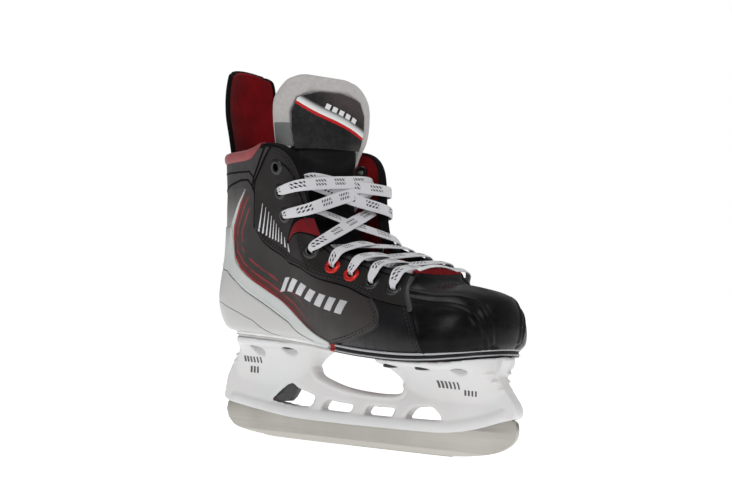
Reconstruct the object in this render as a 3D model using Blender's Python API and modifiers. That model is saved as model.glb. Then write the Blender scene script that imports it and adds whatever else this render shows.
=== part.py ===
"""Ice hockey skate for the right foot, junior size: boot, tongue, lace, blade holder and steel runner.

X runs from heel to toe, Y to the wearer's left (the inner side of the foot) and Z up. The origin is on
the ice, under the middle of the runner. Sizes are millimetres here, and MM turns them into metres.

The boot is one lofted surface. A place on it is (u, t): u counts ribs round the boot from 0 at the
middle of the heel to +11 (inner side) or -11 (outer side) at the toe tip, and t climbs a rib from
0 at the sole to 1 at the collar, the lace facing or the ridge of the toe cap.
"""

import math

import bmesh
import bpy
import numpy as np
from mathutils import Matrix, Vector

MM = 0.001
GAP = 0.3

# Sole: underside height along X, and the stack of plates above it.
SOLE_LINE = [
    (-105, 66.8), (-60, 66.0), (-30, 64.3), (0, 61.5), (30, 59.7), (60, 59.2), (85, 60.6), (105, 63.8), (115, 66),
]
OUTSOLE_THICKNESS = 3.5
BOARD_THICKNESS = 2.0
BOARD_INSET = 7.0
FOOTBED_THICKNESS = 3.0
FOOTBED_INSET = 7.6
FOOTBED_LIFT = 2.0
TOE_SHIFT = 2.5
SOLE_ROWS = 26

# Ribs of one half of the boot, heel to toe: the sole edge (x, half width), then five points (x, half width, z).
RIBS = [
    [(-102, 0), (-113.5, 0, 74), (-118, 0, 91), (-113.5, 0, 120), (-112.3, 0, 150), (-112, 0, 183)],
    [(-93, 19.5), (-102, 21.5, 74.5), (-107.5, 22.5, 91), (-103.5, 23, 120), (-101.5, 25, 150), (-99, 30.5, 184)],
    [(-74, 27.5), (-77, 30.5, 75), (-80, 32, 92), (-78, 33, 122), (-74, 36.5, 152), (-69, 43, 186)],
    [(-50, 28.5), (-51, 32, 75), (-54, 33.5, 95), (-55, 34.5, 123), (-51.5, 39, 156), (-47, 46, 191)],
    [(-25, 30), (-27, 34, 75), (-33, 36, 98), (-36, 37.5, 125), (-33.5, 41, 152), (-27, 44.5, 181)],
    [(0, 33), (-1, 38, 73), (-5, 41, 90), (-9.5, 41.5, 108), (-13.5, 40, 123), (-11, 33, 135)],
    [(28, 39), (27, 43, 71), (24, 44, 85), (20, 42, 99), (17, 37, 110.5), (18.5, 28, 122)],
    [(58, 43), (57.5, 45.5, 70), (56, 45, 81), (53, 41.5, 92), (49.5, 35.5, 102.5), (51, 25.5, 115)],
    [(79, 40.5), (80, 43, 71), (79, 42, 80), (75.5, 38, 90), (71, 28, 100.5), (63, 0, 106.5)],
    [(92.5, 33.5), (95, 36, 71), (94.5, 35.5, 81), (92, 32, 91), (87, 23, 100.5), (75, 0, 106)],
    [(100.5, 20), (104, 22.5, 72), (104.2, 22.5, 82), (102, 20.5, 91.5), (97.5, 14, 99.5), (85, 0, 104.8)],
    [(103.5, 0), (107.5, 0, 73), (108, 0, 83), (106, 0, 93), (102, 0, 99), (91, 0, 103.5)],
]
TIP = len(RIBS) - 1

# Layers of the upper, as distances outside the boot surface.
QUARTER_THICKNESS = 2.4
OVERLAY_OUTER = 1.5
OVERLAY_THICKNESS = 0.9
LINER_OUTER = -3.1
LINER_THICKNESS = 1.6
PAD_OUTER = -5.4
PAD_THICKNESS = 4.0
TOE_CAP_OUTER = 0.9
TOE_CAP_THICKNESS = 2.6
RIB_STEP = 0.5
EXTRA_RIBS = (4.75, 5.25)
LEVELS = 10

TOE_CAP_START = [(0, 8.08), (0.25, 7.92), (0.58, 7.72), (0.9, 7.45), (1.0, 7.42)]
TOE_SEAM = 0.16
LINER_TOP = [(0, 1.0), (6.5, 1.0), (7.0, 0.66), (7.4, 0.6)]
INNER_THROAT_TOP = [(0, 1.0), (6.2, 1.0), (7.4, 0.95), (8, 0.95), (11, 1.0)]
OUTER_THROAT_TOP = [(0, 1.0), (4.4, 1.0), (5.4, 0.95), (8, 0.95), (11, 1.0)]
HEEL_COUNTER_TOP = [(0, 0.72), (1.2, 0.72), (1.6, 0.60), (1.9, 0.535), (2.9, 0.427), (3.9, 0.30), (4.9, 0.09)]
# Facing: where its lower seam runs, and where its upper edge climbs to the collar.
FACING_SEAM = [
    (2.42, 0.70), (2.55, 0.684), (2.85, 0.639), (3.88, 0.558), (4.18, 0.546),
    (4.95, 0.602), (5.9, 0.651), (6.5, 0.62), (7.45, 0.62),
]
FACING_TOP = [(2.42, 0.885), (3.15, 1.0), (8, 1.0)]
FACING_SPAN = (2.42, 7.45)
EYELETS = [
    (3.38, 0.924), (3.62, 0.836), (3.93, 0.753), (4.99, 0.803),
    (5.57, 0.79), (6.02, 0.784), (6.49, 0.783), (6.99, 0.784),
]
RED_EYELETS = (5, 6)
EYELET_HOLE_RADIUS = 3.9
LINER_HOLE_RADIUS = 5.1
EYELET_BORE_RADIUS = 2.4

# Tongue: centre line of its front face (x, z), half width and edge drop; first below, then above its hinge.
TONGUE_LINE = [
    (56, 99.5, 12, 4), (45, 105, 18, 7), (28, 111.5, 22, 10), (10, 117.5, 25, 12), (-5, 126, 27, 12),
    (-17, 138, 25.5, 13), (-26, 153, 27, 13.5), (-32, 170, 29, 12), (-36, 187, 33, 8.5),
]
TONGUE_TOP_LINE = [
    (-36.3, 188.5, 33.5, 8), (-37.2, 200, 37, 5), (-37.8, 213, 38.5, 4.5), (-38, 223, 37.5, 4.5),
    (-38, 231, 32, 4), (-37.6, 235.5, 25, 3), (-37.2, 238, 15, 2),
]
TONGUE_THICKNESS = 6.0
TONGUE_TOP_THICKNESS = 7.0
TONGUE_TURN_DEG = 14.0
BADGE_HALF_WIDTHS = [(4, 26), (14, 28.5), (26, 29), (35, 25), (39.5, 16)]

GUARD_LINE = [
    (-112.2, 186, 31, 52), (-116, 200, 30.5, 55), (-119.6, 214, 30, 56),
    (-120.6, 228, 29, 56), (-118.6, 239, 28, 50), (-117, 244.5, 27, 38),
]
GUARD_THICKNESS = 2.0
GUARD_LINING_THICKNESS = 3.0
GUARD_LINING_GAP = 0.5
GUARD_LINING_TRIM = 2.0

LACE_WIDTH = 8.5
LACE_THICKNESS = 1.1
LACE_NECK_WIDTH = 3.4

# Blade holder and runner, as outlines (x, z).
WEB_OUTLINE = [
    (-118, 22.6), (-102, 19.2), (-85, 17), (-66, 14.8), (-49, 13.8), (-15, 13.5), (19, 13.6), (45, 13.8),
    (68, 14.6), (84, 17), (98, 20.6), (110, 24.4), (119, 27.2), (120.6, 31), (118.5, 36), (112, 44), (107, 52),
    (104.5, 66), (24, 66), (25, 56), (31, 48), (37.5, 41), (38.2, 36), (33, 32.4), (11, 31.3), (-13.5, 33.4),
    (-34, 38.4), (-41.5, 44.5), (-39, 52), (-32, 58), (-27, 66), (-99, 66), (-102, 60), (-107, 54),
    (-112.5, 46), (-116.5, 38), (-118, 30),
]
WINDOWS = [
    [(-60, 36), (-74, 25.8), (-71, 24), (-45, 22), (-38.5, 28.5), (-41, 30.5), (-52, 33.5)],
    [(-28, 27.6), (-33, 21.6), (-31.5, 21), (-11, 21), (-6, 25.2), (-8, 26.5), (-18, 27)],
    [(7, 26.4), (3, 21), (5, 20.5), (23, 20.5), (28, 25.5), (26.5, 26.8), (16, 26.4)],
    [(42, 27.5), (36.5, 21.6), (38, 21), (60, 21.6), (65, 23), (58, 29.4), (50, 29)],
]
WEB_HALF_THICKNESS = 4.6
FRONT_PILLAR = [
    (66, 19, 105.5, 36.5), (57, 21, 105.5, 35), (54, 24, 105.7, 26), (50, 28.5, 107, 18),
    (45, 33, 110.5, 11), (39, 36, 115, 6.6), (33, 38, 119.5, 4.2),
]
REAR_PILLAR = [
    (68, -101, -24, 27.5), (62.5, -101.5, -26, 26.5), (58.5, -103.5, -31, 19), (53, -107.5, -36.5, 13),
    (46, -112.5, -40, 8), (38, -116.5, -46, 5.2), (30, -118, -56, 4.2),
]
PILLAR_SQUARENESS = 2.7
RUNNER_OUTLINE = [
    (-62, 0), (58, 0), (72, 0.6), (85, 1.6), (98, 3.6), (107, 6.2), (114, 10), (118.4, 14.6), (119.7, 19.5),
    (118.6, 24.6), (114.5, 26.6), (106.5, 24.6), (106.5, 37), (97.5, 37), (97, 21.5), (84, 18.6), (68, 17.6),
    (-79, 17.6), (-79, 42.1), (-81.2, 42.1), (-81.2, 43.3), (-79, 50), (-79, 53.5), (-88.5, 53.5), (-89, 19.6),
    (-104, 21.4), (-114, 22.6), (-117.8, 20.6), (-119, 15.5), (-117, 10), (-111, 5.2), (-101, 2.8), (-86, 1.2),
]
RUNNER_THICKNESS = 3.0
SLOT_CLEARANCE = 0.35
TRIGGER_PIVOT = (-72, 31)
TRIGGER_OUTLINE = [
    (-80.8, 43), (-78.4, 42.5), (-78.2, 36), (-77.5, 31), (-76, 27.2), (-74, 25.4), (-66, 24.2), (-62, 24.6),
    (-58.8, 27.5), (-56.4, 31), (-54, 35), (-56, 37.4), (-63, 38.5), (-68, 40.5), (-71, 44), (-72.5, 49),
    (-78.4, 49.2), (-78.4, 48.4),
]
TRIGGER_HALF_THICKNESS = 2.6
TRIGGER_POCKET = [
    (-79.1, 40), (-79.1, 21.1), (-54, 21.1), (-51.5, 28), (-51.5, 39),
    (-61, 41.5), (-64.5, 46), (-64.5, 58), (-81.8, 58), (-81.8, 40),
]
POCKET_HALF_WIDTH = 3.0
PIN_RADIUS = 1.5
PIN_CLEARANCE = 0.08
RIVETS = {"front": [(42, 27), (67, 27.5), (91, 23)], "rear": [(-77, 18), (-49, 18)]}
RIVET_RADIUS = 2.2
RIVET_POCKET_RADIUS = 5.0
FLANGE_THICKNESS = 3.2


# ---------------------------------------------------------------- scene helpers
for old in list(bpy.data.objects):
    bpy.data.objects.remove(old, do_unlink=True)

skate = bpy.data.collections.new("hockey_skate")
cutters = bpy.data.collections.new("cutters")
for group in (skate, cutters):
    bpy.context.scene.collection.children.link(group)


def material(name, color, roughness, metallic=0.0):
    """A Principled material with one colour."""
    made = bpy.data.materials.new(name)
    made.use_nodes = True
    shader = made.node_tree.nodes["Principled BSDF"]
    shader.inputs["Base Color"].default_value = (*color, 1.0)
    shader.inputs["Roughness"].default_value = roughness
    shader.inputs["Metallic"].default_value = metallic
    return made


GREY = material("quarter_grey", (0.085, 0.083, 0.083), 0.5)
CHARCOAL = material("facing_charcoal", (0.045, 0.044, 0.045), 0.5)
WHITE = material("white_panel", (0.72, 0.74, 0.73), 0.4)
BLACK = material("toe_black", (0.012, 0.012, 0.013), 0.35)
RED_FABRIC = material("red_lining", (0.20, 0.008, 0.014), 0.9)
RED = material("red_paint", (0.55, 0.02, 0.015), 0.35)
PINK = material("collar_pink", (0.30, 0.06, 0.065), 0.7)
FELT = material("white_felt", (0.72, 0.70, 0.69), 0.95)
LACE_WHITE = material("lace_white", (0.75, 0.75, 0.78), 0.9)
PLASTIC = material("holder_white", (0.80, 0.80, 0.81), 0.35)
TRIGGER_GREY = material("trigger_grey", (0.04, 0.04, 0.042), 0.45)
STEEL = material("runner_steel", (0.62, 0.61, 0.57), 0.28, 1.0)
BOARD = material("insole_board", (0.16, 0.12, 0.08), 0.9)
FOAM = material("footbed_foam", (0.03, 0.03, 0.032), 0.9)
PIPING = material("piping_grey", (0.38, 0.38, 0.40), 0.5)


def link(name, mesh, finish, helper=False):
    """Puts a mesh in the scene under its name; a helper is a cutter and stays out of the model."""
    made = bpy.data.objects.new(name, mesh)
    (cutters if helper else skate).objects.link(made)
    if finish:
        mesh.materials.append(finish)
    if helper:
        made.hide_render = True
        made.display_type = "WIRE"
    else:
        mesh.shade_smooth()
        mesh.set_sharp_from_angle(angle=math.radians(35))
    return made


def finish_mesh(name, bm):
    """Merges doubles, scales to metres and turns a bmesh into a mesh."""
    bmesh.ops.remove_doubles(bm, verts=bm.verts, dist=0.01)
    bmesh.ops.scale(bm, vec=(MM, MM, MM), verts=bm.verts)
    mesh = bpy.data.meshes.new(name)
    bm.to_mesh(mesh)
    bm.free()
    return mesh


def shell(name, rows, thickness, finish, helper=False):
    """A sheet lofted through rows of points, given its thickness on the side away from its front."""
    bm = bmesh.new()
    grid = [[bm.verts.new(point) for point in row] for row in rows]
    for row, following in zip(grid, grid[1:]):
        for j in range(len(row) - 1):
            bm.faces.new((row[j], row[j + 1], following[j + 1], following[j]))
    made = link(name, finish_mesh(name, bm), finish, helper)
    solid = made.modifiers.new("thickness", "SOLIDIFY")
    solid.thickness = thickness * MM
    solid.offset = -1.0
    return made


def loft(name, loops, finish, helper=False):
    """A closed body through loops of equal length, with flat ends."""
    bm = bmesh.new()
    rings = [[bm.verts.new(point) for point in loop] for loop in loops]
    for ring, following in zip(rings, rings[1:]):
        for j in range(len(ring)):
            k = (j + 1) % len(ring)
            bm.faces.new((ring[j], ring[k], following[k], following[j]))
    bm.faces.new(rings[0])
    bm.faces.new(rings[-1])
    bmesh.ops.recalc_face_normals(bm, faces=bm.faces)
    return link(name, finish_mesh(name, bm), finish, helper)


def plate(name, outlines, half_thickness, finish, helper=False):
    """A flat piece in the XZ plane: the first outline is its edge and the others are holes in it."""
    curve = bpy.data.curves.new(name, "CURVE")
    curve.dimensions = "2D"
    curve.fill_mode = "BOTH"
    curve.extrude = half_thickness * MM
    for outline in outlines:
        spline = curve.splines.new("POLY")
        spline.points.add(len(outline) - 1)
        for point, (x, z) in zip(spline.points, outline):
            point.co = (x * MM, z * MM, 0, 1)
        spline.use_cyclic_u = True
    guide = bpy.data.objects.new(name + "_guide", curve)
    cutters.objects.link(guide)
    guide.rotation_euler = (math.pi / 2, 0, 0)
    bpy.context.view_layer.update()
    evaluated = guide.evaluated_get(bpy.context.evaluated_depsgraph_get())
    mesh = bpy.data.meshes.new_from_object(evaluated)
    bm = bmesh.new()
    bm.from_mesh(mesh)
    bmesh.ops.remove_doubles(bm, verts=bm.verts, dist=1e-6)
    bmesh.ops.transform(bm, matrix=guide.matrix_world, verts=bm.verts)
    bmesh.ops.recalc_face_normals(bm, faces=bm.faces)
    bm.to_mesh(mesh)
    bm.free()
    mesh.name = name
    bpy.data.objects.remove(guide)
    return link(name, mesh, finish, helper)


def turned(name, profile, place, axis, finish, steps=12):
    """A ring or stud turned from a closed profile of (radius, height) round its own axis."""
    mesh = bpy.data.meshes.new(name)
    points = [(r * MM, 0, h * MM) for r, h in profile]
    closed = profile[0][0] > 0
    edges = [(i, i + 1) for i in range(len(points) - 1)] + ([(len(points) - 1, 0)] if closed else [])
    mesh.from_pydata(points, edges, [])
    made = link(name, mesh, finish)
    made.location = Vector(place) * MM
    made.rotation_mode = "QUATERNION"
    made.rotation_quaternion = Vector(axis).to_track_quat("Z", "Y")
    screw = made.modifiers.new("turn", "SCREW")
    screw.steps = screw.render_steps = steps
    screw.use_merge_vertices = True
    screw.merge_threshold = 0.00001
    return made


def cylinders(name, rods, sides=10):
    """A cutter made of straight rods (centre, axis, radius, length)."""
    bm = bmesh.new()
    for centre, axis, radius, length in rods:
        turn = Vector(axis).to_track_quat("Z", "Y").to_matrix().to_4x4()
        bmesh.ops.create_cone(
            bm, cap_ends=True, segments=sides, radius1=radius, radius2=radius, depth=length,
            matrix=Matrix.Translation(Vector(centre)) @ turn,
        )
    return link(name, finish_mesh(name, bm), None, helper=True)


def cut(target, cutter, operation="DIFFERENCE"):
    change = target.modifiers.new(cutter.name, "BOOLEAN")
    change.operation = operation
    change.object = cutter


# ---------------------------------------------------------------- curves and the boot surface
def between(points, x):
    """Straight interpolation of a list of (x, value...) points."""
    xs = [p[0] for p in points]
    return np.array([np.interp(x, xs, [p[k] for p in points]) for k in range(1, len(points[0]))])


def flow(p0, p1, p2, p3, f):
    """Catmull-Rom curve from p1 to p2."""
    square, cube = 2 * p0 - 5 * p1 + 4 * p2 - p3, 3 * p1 - p0 - 3 * p2 + p3
    return 0.5 * (2 * p1 + (p2 - p0) * f + square * f * f + cube * f**3)


def along(points, f):
    """Smooth open curve through points, with f from 0 to 1."""
    points = np.asarray(points, float)
    padded = np.vstack([2 * points[0] - points[1], points, 2 * points[-1] - points[-2]])
    place = min(max(f, 0.0), 1.0) * (len(points) - 1)
    i = min(int(place), len(points) - 2)
    return flow(*padded[i : i + 4], place - i)


def sole_height(x):
    """Height of the outsole's underside."""
    xs, zs = np.array(SOLE_LINE, float).T
    slopes = np.gradient(zs, xs)
    x = min(max(x, xs[0]), xs[-1])
    i = min(max(int(np.searchsorted(xs, x)) - 1, 0), len(xs) - 2)
    width = xs[i + 1] - xs[i]
    f = (x - xs[i]) / width
    rise = (3 - 2 * f) * f * f
    bend = width * f * (1 - f) * ((1 - f) * slopes[i] - f * slopes[i + 1])
    return (1 - rise) * zs[i] + rise * zs[i + 1] + bend


def centre_shift(x):
    """How far the boot's middle line bends to the inner side towards the toe."""
    f = min(max((x - 10) / 90, 0.0), 1.0)
    return TOE_SHIFT * f * f * (3 - 2 * f)


UPPER_LIFT = OUTSOLE_THICKNESS + GAP
inner_ribs = np.array([[(*edge, sole_height(edge[0]) + UPPER_LIFT), *others] for edge, *others in RIBS], float)
outer_ribs = inner_ribs[-2:0:-1] * (1, -1, 1)
HULL = np.concatenate([inner_ribs, outer_ribs])


def surface(u, t):
    """Point of the boot surface."""
    i = math.floor(u)
    rib = flow(*[HULL[(i + k) % len(HULL)] for k in (-1, 0, 1, 2)], u - i)
    padded = np.vstack([2 * rib[0] - rib[1], rib, 2 * rib[-1] - rib[-2]])
    place = t * (len(rib) - 1)
    j = min(max(math.floor(place), 0), len(rib) - 2)
    point = flow(*padded[j : j + 4], place - j)
    inner = u % len(HULL) <= TIP
    point[1] = max(point[1], 0.0) if inner else min(point[1], 0.0)
    point[1] += centre_shift(point[0])
    return point


def outward(u, t, step=0.01):
    """Unit normal of the boot surface, pointing out of the boot."""
    across = surface(u + step, t) - surface(u - step, t)
    up = surface(u, min(t + step, 1.0)) - surface(u, t - step)
    normal = np.cross(up, across)
    return normal / np.linalg.norm(normal)


def layer(u, t, distance):
    return surface(u, t) + distance * outward(u, t)


def top_of(u):
    """t of the upper's free edge: the outer facing sits a little lower than the inner one."""
    return float(between(INNER_THROAT_TOP if u >= 0 else OUTER_THROAT_TOP, abs(u))[0])


def rib_stations(first, last):
    """The shared rib stations between two ends, with the ends themselves."""
    shared = sorted({side * u for side in (1, -1) for u in (*np.arange(0, 17, RIB_STEP), *EXTRA_RIBS)})
    return [first, *[u for u in shared if u - first > 0.12 and last - u > 0.12], last]


def seam_at(t):
    """Rib number of the toe cap's rear edge at a level."""
    return float(between(TOE_CAP_START, t)[0])


def patch(us, distance, low, high, clip=lambda u, t: u):
    """Rows of points of a panel, on levels shared by every layer and clipped to low(u) and high(u)."""
    rows = []
    for u in us:
        levels = [min(max(k / LEVELS, low(u)), high(u)) for k in range(LEVELS + 1)]
        rows.append([layer(clip(u, t), t, distance) for t in levels])
    return rows


def behind_seam(u, t):
    """Clips a rib number to the part of the upper behind the toe cap."""
    return math.copysign(min(abs(u), seam_at(t) - TOE_SEAM), u)


def nearest_edge(u, t):
    """Signed rib number of the point of the throat's edge that is nearest to (u, t)."""
    side = 1 if u > 0 else -1
    candidates = [side * (3.3 + 0.02 * k) for k in range(230)]
    here = surface(u, t)
    return min(candidates, key=lambda v: np.linalg.norm(surface(v, top_of(v)) - here))


# ---------------------------------------------------------------- boot upper
def eyelet_cutter(side, name, depth, radius, length):
    rods = [(layer(side * u, t, -depth), outward(side * u, t), radius, length) for u, t in EYELETS]
    return cylinders(name, rods, sides=8)


def both_sides(first, last):
    """Ascending rib stations of the inner panel and of its mirror image on the outer side."""
    us = rib_stations(first, last)
    return ((1, "medial", us), (-1, "lateral", [-u for u in us[::-1]]))


def build_quarters(holes):
    for side, word, us in both_sides(0.035, seam_at(0) - TOE_SEAM):
        rows = patch(us, 0.0, lambda u: 0.0, top_of, behind_seam)
        cut(shell(word + "_quarter", rows, QUARTER_THICKNESS, GREY), holes[side])


def build_liner():
    us = rib_stations(-7.4, 7.4)

    def high(u):
        return min(top_of(u) - 0.005, between(LINER_TOP, abs(u))[0])

    made = shell("liner", patch(us, LINER_OUTER, lambda u: 0.05, high), LINER_THICKNESS, RED_FABRIC)
    for side, word in ((1, "medial"), (-1, "lateral")):
        cut(made, eyelet_cutter(side, word + "_liner_holes", 6.0, LINER_HOLE_RADIUS, 10))


def build_facings(holes):
    for side, word, us in both_sides(*FACING_SPAN):
        def high(u):
            return min(top_of(u), between(FACING_TOP, abs(u))[0])
        rows = patch(us, OVERLAY_OUTER, lambda u: between(FACING_SEAM, abs(u))[0], high, behind_seam)
        cut(shell(word + "_facing", rows, OVERLAY_THICKNESS, CHARCOAL), holes[side])


def build_heel_counter():
    def high(u):
        return between(HEEL_COUNTER_TOP, abs(u))[0]

    rows = patch(rib_stations(-4.9, 4.9), OVERLAY_OUTER, lambda u: 0.0, high)
    shell("heel_counter", rows, OVERLAY_THICKNESS, WHITE)


def build_collar_band():
    rows = patch(rib_stations(-2.2, 2.2), OVERLAY_OUTER, lambda u: 0.952, lambda u: 1.0)
    shell("collar_band", rows, OVERLAY_THICKNESS, PINK)


def build_toe_cap():
    us = rib_stations(seam_at(1), len(HULL) - seam_at(1))

    def ahead_of_seam(u, t):
        return min(max(u, seam_at(t)), len(HULL) - seam_at(t))

    rows = patch(us, TOE_CAP_OUTER, lambda u: 0.0, lambda u: 1.0, ahead_of_seam)
    shell("toe_cap", rows, TOE_CAP_THICKNESS, BLACK)


def build_ankle_pads():
    for _, word, us in both_sides(1.3, 2.8):
        rows = patch(us, PAD_OUTER, lambda u: 0.5, lambda u: 0.86)
        shell(word + "_ankle_pad", rows, PAD_THICKNESS, RED_FABRIC)


def sole_plate(name, inset, lift, thickness, finish, helper=False):
    """A plate across the sole's outline, its underside `lift` above the outsole's underside."""
    rows = []
    for k in range(SOLE_ROWS + 1):
        u = TIP * k / SOLE_ROWS
        ends = []
        for side in (-1, 1):
            edge = surface(side * u, 0.0)
            tangent = surface(side * u + 0.01, 0.0) - surface(side * u - 0.01, 0.0)
            away = np.array([-tangent[1], tangent[0]]) / math.hypot(tangent[0], tangent[1])
            ends.append(edge[:2] - inset * away)
        middle = (ends[0][0] + ends[1][0]) / 2
        if k in (0, SOLE_ROWS):
            ends = [(ends[0] + ends[1]) / 2] * 2
        rows.append([(*end, sole_height(middle) + lift) for end in ends])
    return shell(name, rows, thickness, finish, helper)


def rivet_places():
    for group, places in RIVETS.items():
        for number, (x, y) in enumerate(places, 1):
            for side, word in ((1, "medial"), (-1, "lateral")):
                yield f"{group}_rivet_{word}_{number}", x, side * y


def build_sole():
    shanks = [((x, y, sole_height(x)), (0, 0, 1), RIVET_RADIUS + GAP, 30) for _, x, y in rivet_places()]
    holes = cylinders("rivet_holes", shanks)
    cut(sole_plate("outsole", 0.0, 0.0, OUTSOLE_THICKNESS, BLACK), holes)
    board_lift = OUTSOLE_THICKNESS + GAP
    cut(sole_plate("insole_board", BOARD_INSET, board_lift, BOARD_THICKNESS, BOARD), holes)
    footbed_lift = board_lift + BOARD_THICKNESS + FOOTBED_LIFT
    sole_plate("footbed", FOOTBED_INSET, footbed_lift, FOOTBED_THICKNESS, FOAM)
    return holes


def build_rivets():
    top = OUTSOLE_THICKNESS + GAP + BOARD_THICKNESS + GAP
    for name, x, y in rivet_places():
        low = -FLANGE_THICKNESS - 2 * GAP
        profile = [
            (0, top + 1.2), (3.4, top + 0.9), (3.4, top), (RIVET_RADIUS, top), (RIVET_RADIUS, low),
            (4.0, low), (3.4, low - 1.4), (0, low - 1.4),
        ]
        turned(name, profile, (x, y, sole_height(x)), (0, 0, 1), STEEL, steps=8)


def build_eyelets():
    bore = EYELET_BORE_RADIUS
    profile = [
        (bore, 2.8), (4.6, 2.8), (5.3, 1.95), (3.5, 1.95), (3.5, -5.7), (4.6, -5.7), (4.4, -6.2), (bore, -6.2),
    ]
    for side, word in ((1, "medial"), (-1, "lateral")):
        for number, (u, t) in enumerate(EYELETS, 1):
            finish = RED if number in RED_EYELETS and side < 0 else BLACK
            place, axis = surface(side * u, t), outward(side * u, t)
            turned(f"{word}_eyelet_{number}", profile, place, axis, finish, steps=8)


# ---------------------------------------------------------------- tongue and tendon guard
def tongue_rows(line, rows, thickness_shift=0.0, widths=None):
    """Rows across the tongue's front face, from its line of (x, z, half width, edge drop)."""
    line = np.asarray(line, float)
    made = []
    for k in range(rows + 1):
        x, z, half, drop = along(line, k / rows)
        ahead, behind = along(line, k / rows + 0.02), along(line, k / rows - 0.02)
        up = np.array([ahead[0] - behind[0], 0, ahead[1] - behind[1]])
        up /= np.linalg.norm(up)
        front = np.array([up[2], 0, -up[0]])
        turn = math.radians(TONGUE_TURN_DEG) * min(max((z - 125) / 70, 0.0), 1.0)
        across = math.sin(turn) * front + math.cos(turn) * np.array([0.0, 1, 0])
        facing_out = math.cos(turn) * front - math.sin(turn) * np.array([0.0, 1, 0])
        if widths is not None:
            drop *= (widths[k] / half) ** 2
            half = widths[k]
        centre = np.array([x, centre_shift(x), z])
        row = []
        for f in np.linspace(-1, 1, 9):
            row.append(centre + across * half * f + facing_out * (thickness_shift - drop * f * f))
        made.append(row)
    return made


def build_tongue():
    shell("tongue", tongue_rows(TONGUE_LINE, 14), TONGUE_THICKNESS, BLACK)
    shell("tongue_top", tongue_rows(TONGUE_TOP_LINE, 10), TONGUE_TOP_THICKNESS, FELT)
    base = TONGUE_TOP_LINE[0][1]
    heights = [h for h, _ in BADGE_HALF_WIDTHS]
    line = [along(TONGUE_TOP_LINE, k / 30) for k in range(31)]
    chosen = [min(line, key=lambda p: abs(p[1] - base - h)) for h in np.linspace(heights[0], heights[-1], 9)]
    widths = [between(BADGE_HALF_WIDTHS, p[1] - base)[0] for p in chosen]
    shell("tongue_badge", tongue_rows(chosen, 8, OVERLAY_OUTER, widths), OVERLAY_THICKNESS, BLACK)


def guard_rows(inset, trim):
    """Rows of the guard's outer face, moved in by `inset` and shortened at the edges by `trim` degrees."""
    rows = []
    for k in range(9):
        back, z, radius, spread = along(GUARD_LINE, k / 8)
        turns = np.radians(np.linspace(spread - trim, -(spread - trim), 13))
        middle, reach = back + radius, radius - inset
        rows.append([(middle - reach * math.cos(a), reach * math.sin(a), z) for a in turns])
    return rows


def build_tendon_guard():
    shell("tendon_guard", guard_rows(0.0, 0.0), GUARD_THICKNESS, BLACK)
    inset = GUARD_THICKNESS + GUARD_LINING_GAP
    shell("tendon_guard_lining", guard_rows(inset, GUARD_LINING_TRIM), GUARD_LINING_THICKNESS, RED_FABRIC)


# ---------------------------------------------------------------- blade holder and runner
def grown(outline, by):
    """The outline moved outwards by a distance."""
    points = np.array(outline, float)
    before, after = np.roll(points, 1, axis=0), np.roll(points, -1, axis=0)
    made = []
    for a, b, c in zip(before, points, after):
        d1, d2 = (b - a) / np.linalg.norm(b - a), (c - b) / np.linalg.norm(c - b)
        n1, n2 = np.array([d1[1], -d1[0]]), np.array([d2[1], -d2[0]])
        made.append(tuple(b + by * (n1 + n2) / (1 + n1 @ n2)))
    return made


def pillar(name, sections):
    """A flared post: super-ellipses from the flange down to the rail."""
    loops = []
    for z, x0, x1, half in sections:
        loop = []
        for k in range(20):
            a = 2 * math.pi * k / 20
            c, s = math.cos(a), math.sin(a)
            power = 2 / PILLAR_SQUARENESS
            x = (x0 + x1) / 2 + (x1 - x0) / 2 * math.copysign(abs(c) ** power, c)
            loop.append((x, half * math.copysign(abs(s) ** power, s), z))
        loops.append(loop)
    return loft(name, loops, None, helper=True)


def build_holder(rivet_holes):
    holder = plate("holder", [WEB_OUTLINE, *WINDOWS], WEB_HALF_THICKNESS, PLASTIC)
    cut(holder, pillar("front_pillar", FRONT_PILLAR), "UNION")
    cut(holder, pillar("rear_pillar", REAR_PILLAR), "UNION")
    cut(holder, sole_plate("sole_space", -12.0, -GAP, 30, None, helper=True))
    slot = grown(RUNNER_OUTLINE, SLOT_CLEARANCE)
    cut(holder, plate("runner_slot", [slot], RUNNER_THICKNESS / 2 + SLOT_CLEARANCE, None, helper=True))
    cut(holder, plate("trigger_pocket", [TRIGGER_POCKET], POCKET_HALF_WIDTH, None, helper=True))
    cut(holder, rivet_holes)
    pockets = []
    for _, x, y in rivet_places():
        top = sole_height(x) - FLANGE_THICKNESS - GAP
        pockets.append(((x, y, top - 15), (0, 0, 1), RIVET_POCKET_RADIUS, 30))
    cut(holder, cylinders("rivet_pockets", pockets))
    pivot = (TRIGGER_PIVOT[0], 0, TRIGGER_PIVOT[1])
    cut(holder, cylinders("pin_hole", [(pivot, (0, 1, 0), PIN_RADIUS + GAP, 8.6)]))


def build_runner():
    plate("runner", [RUNNER_OUTLINE], RUNNER_THICKNESS / 2, STEEL)


def build_trigger():
    pivot = (TRIGGER_PIVOT[0], 0, TRIGGER_PIVOT[1])
    trigger = plate("trigger", [TRIGGER_OUTLINE], TRIGGER_HALF_THICKNESS, TRIGGER_GREY)
    cut(trigger, cylinders("trigger_bore", [(pivot, (0, 1, 0), PIN_RADIUS + PIN_CLEARANCE, 20)], sides=20))
    half = 4.2
    profile = [(0, half), (PIN_RADIUS, half), (PIN_RADIUS, -half), (0, -half)]
    turned("trigger_pin", profile, pivot, (0, 1, 0), STEEL)
    build_spring()


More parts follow.
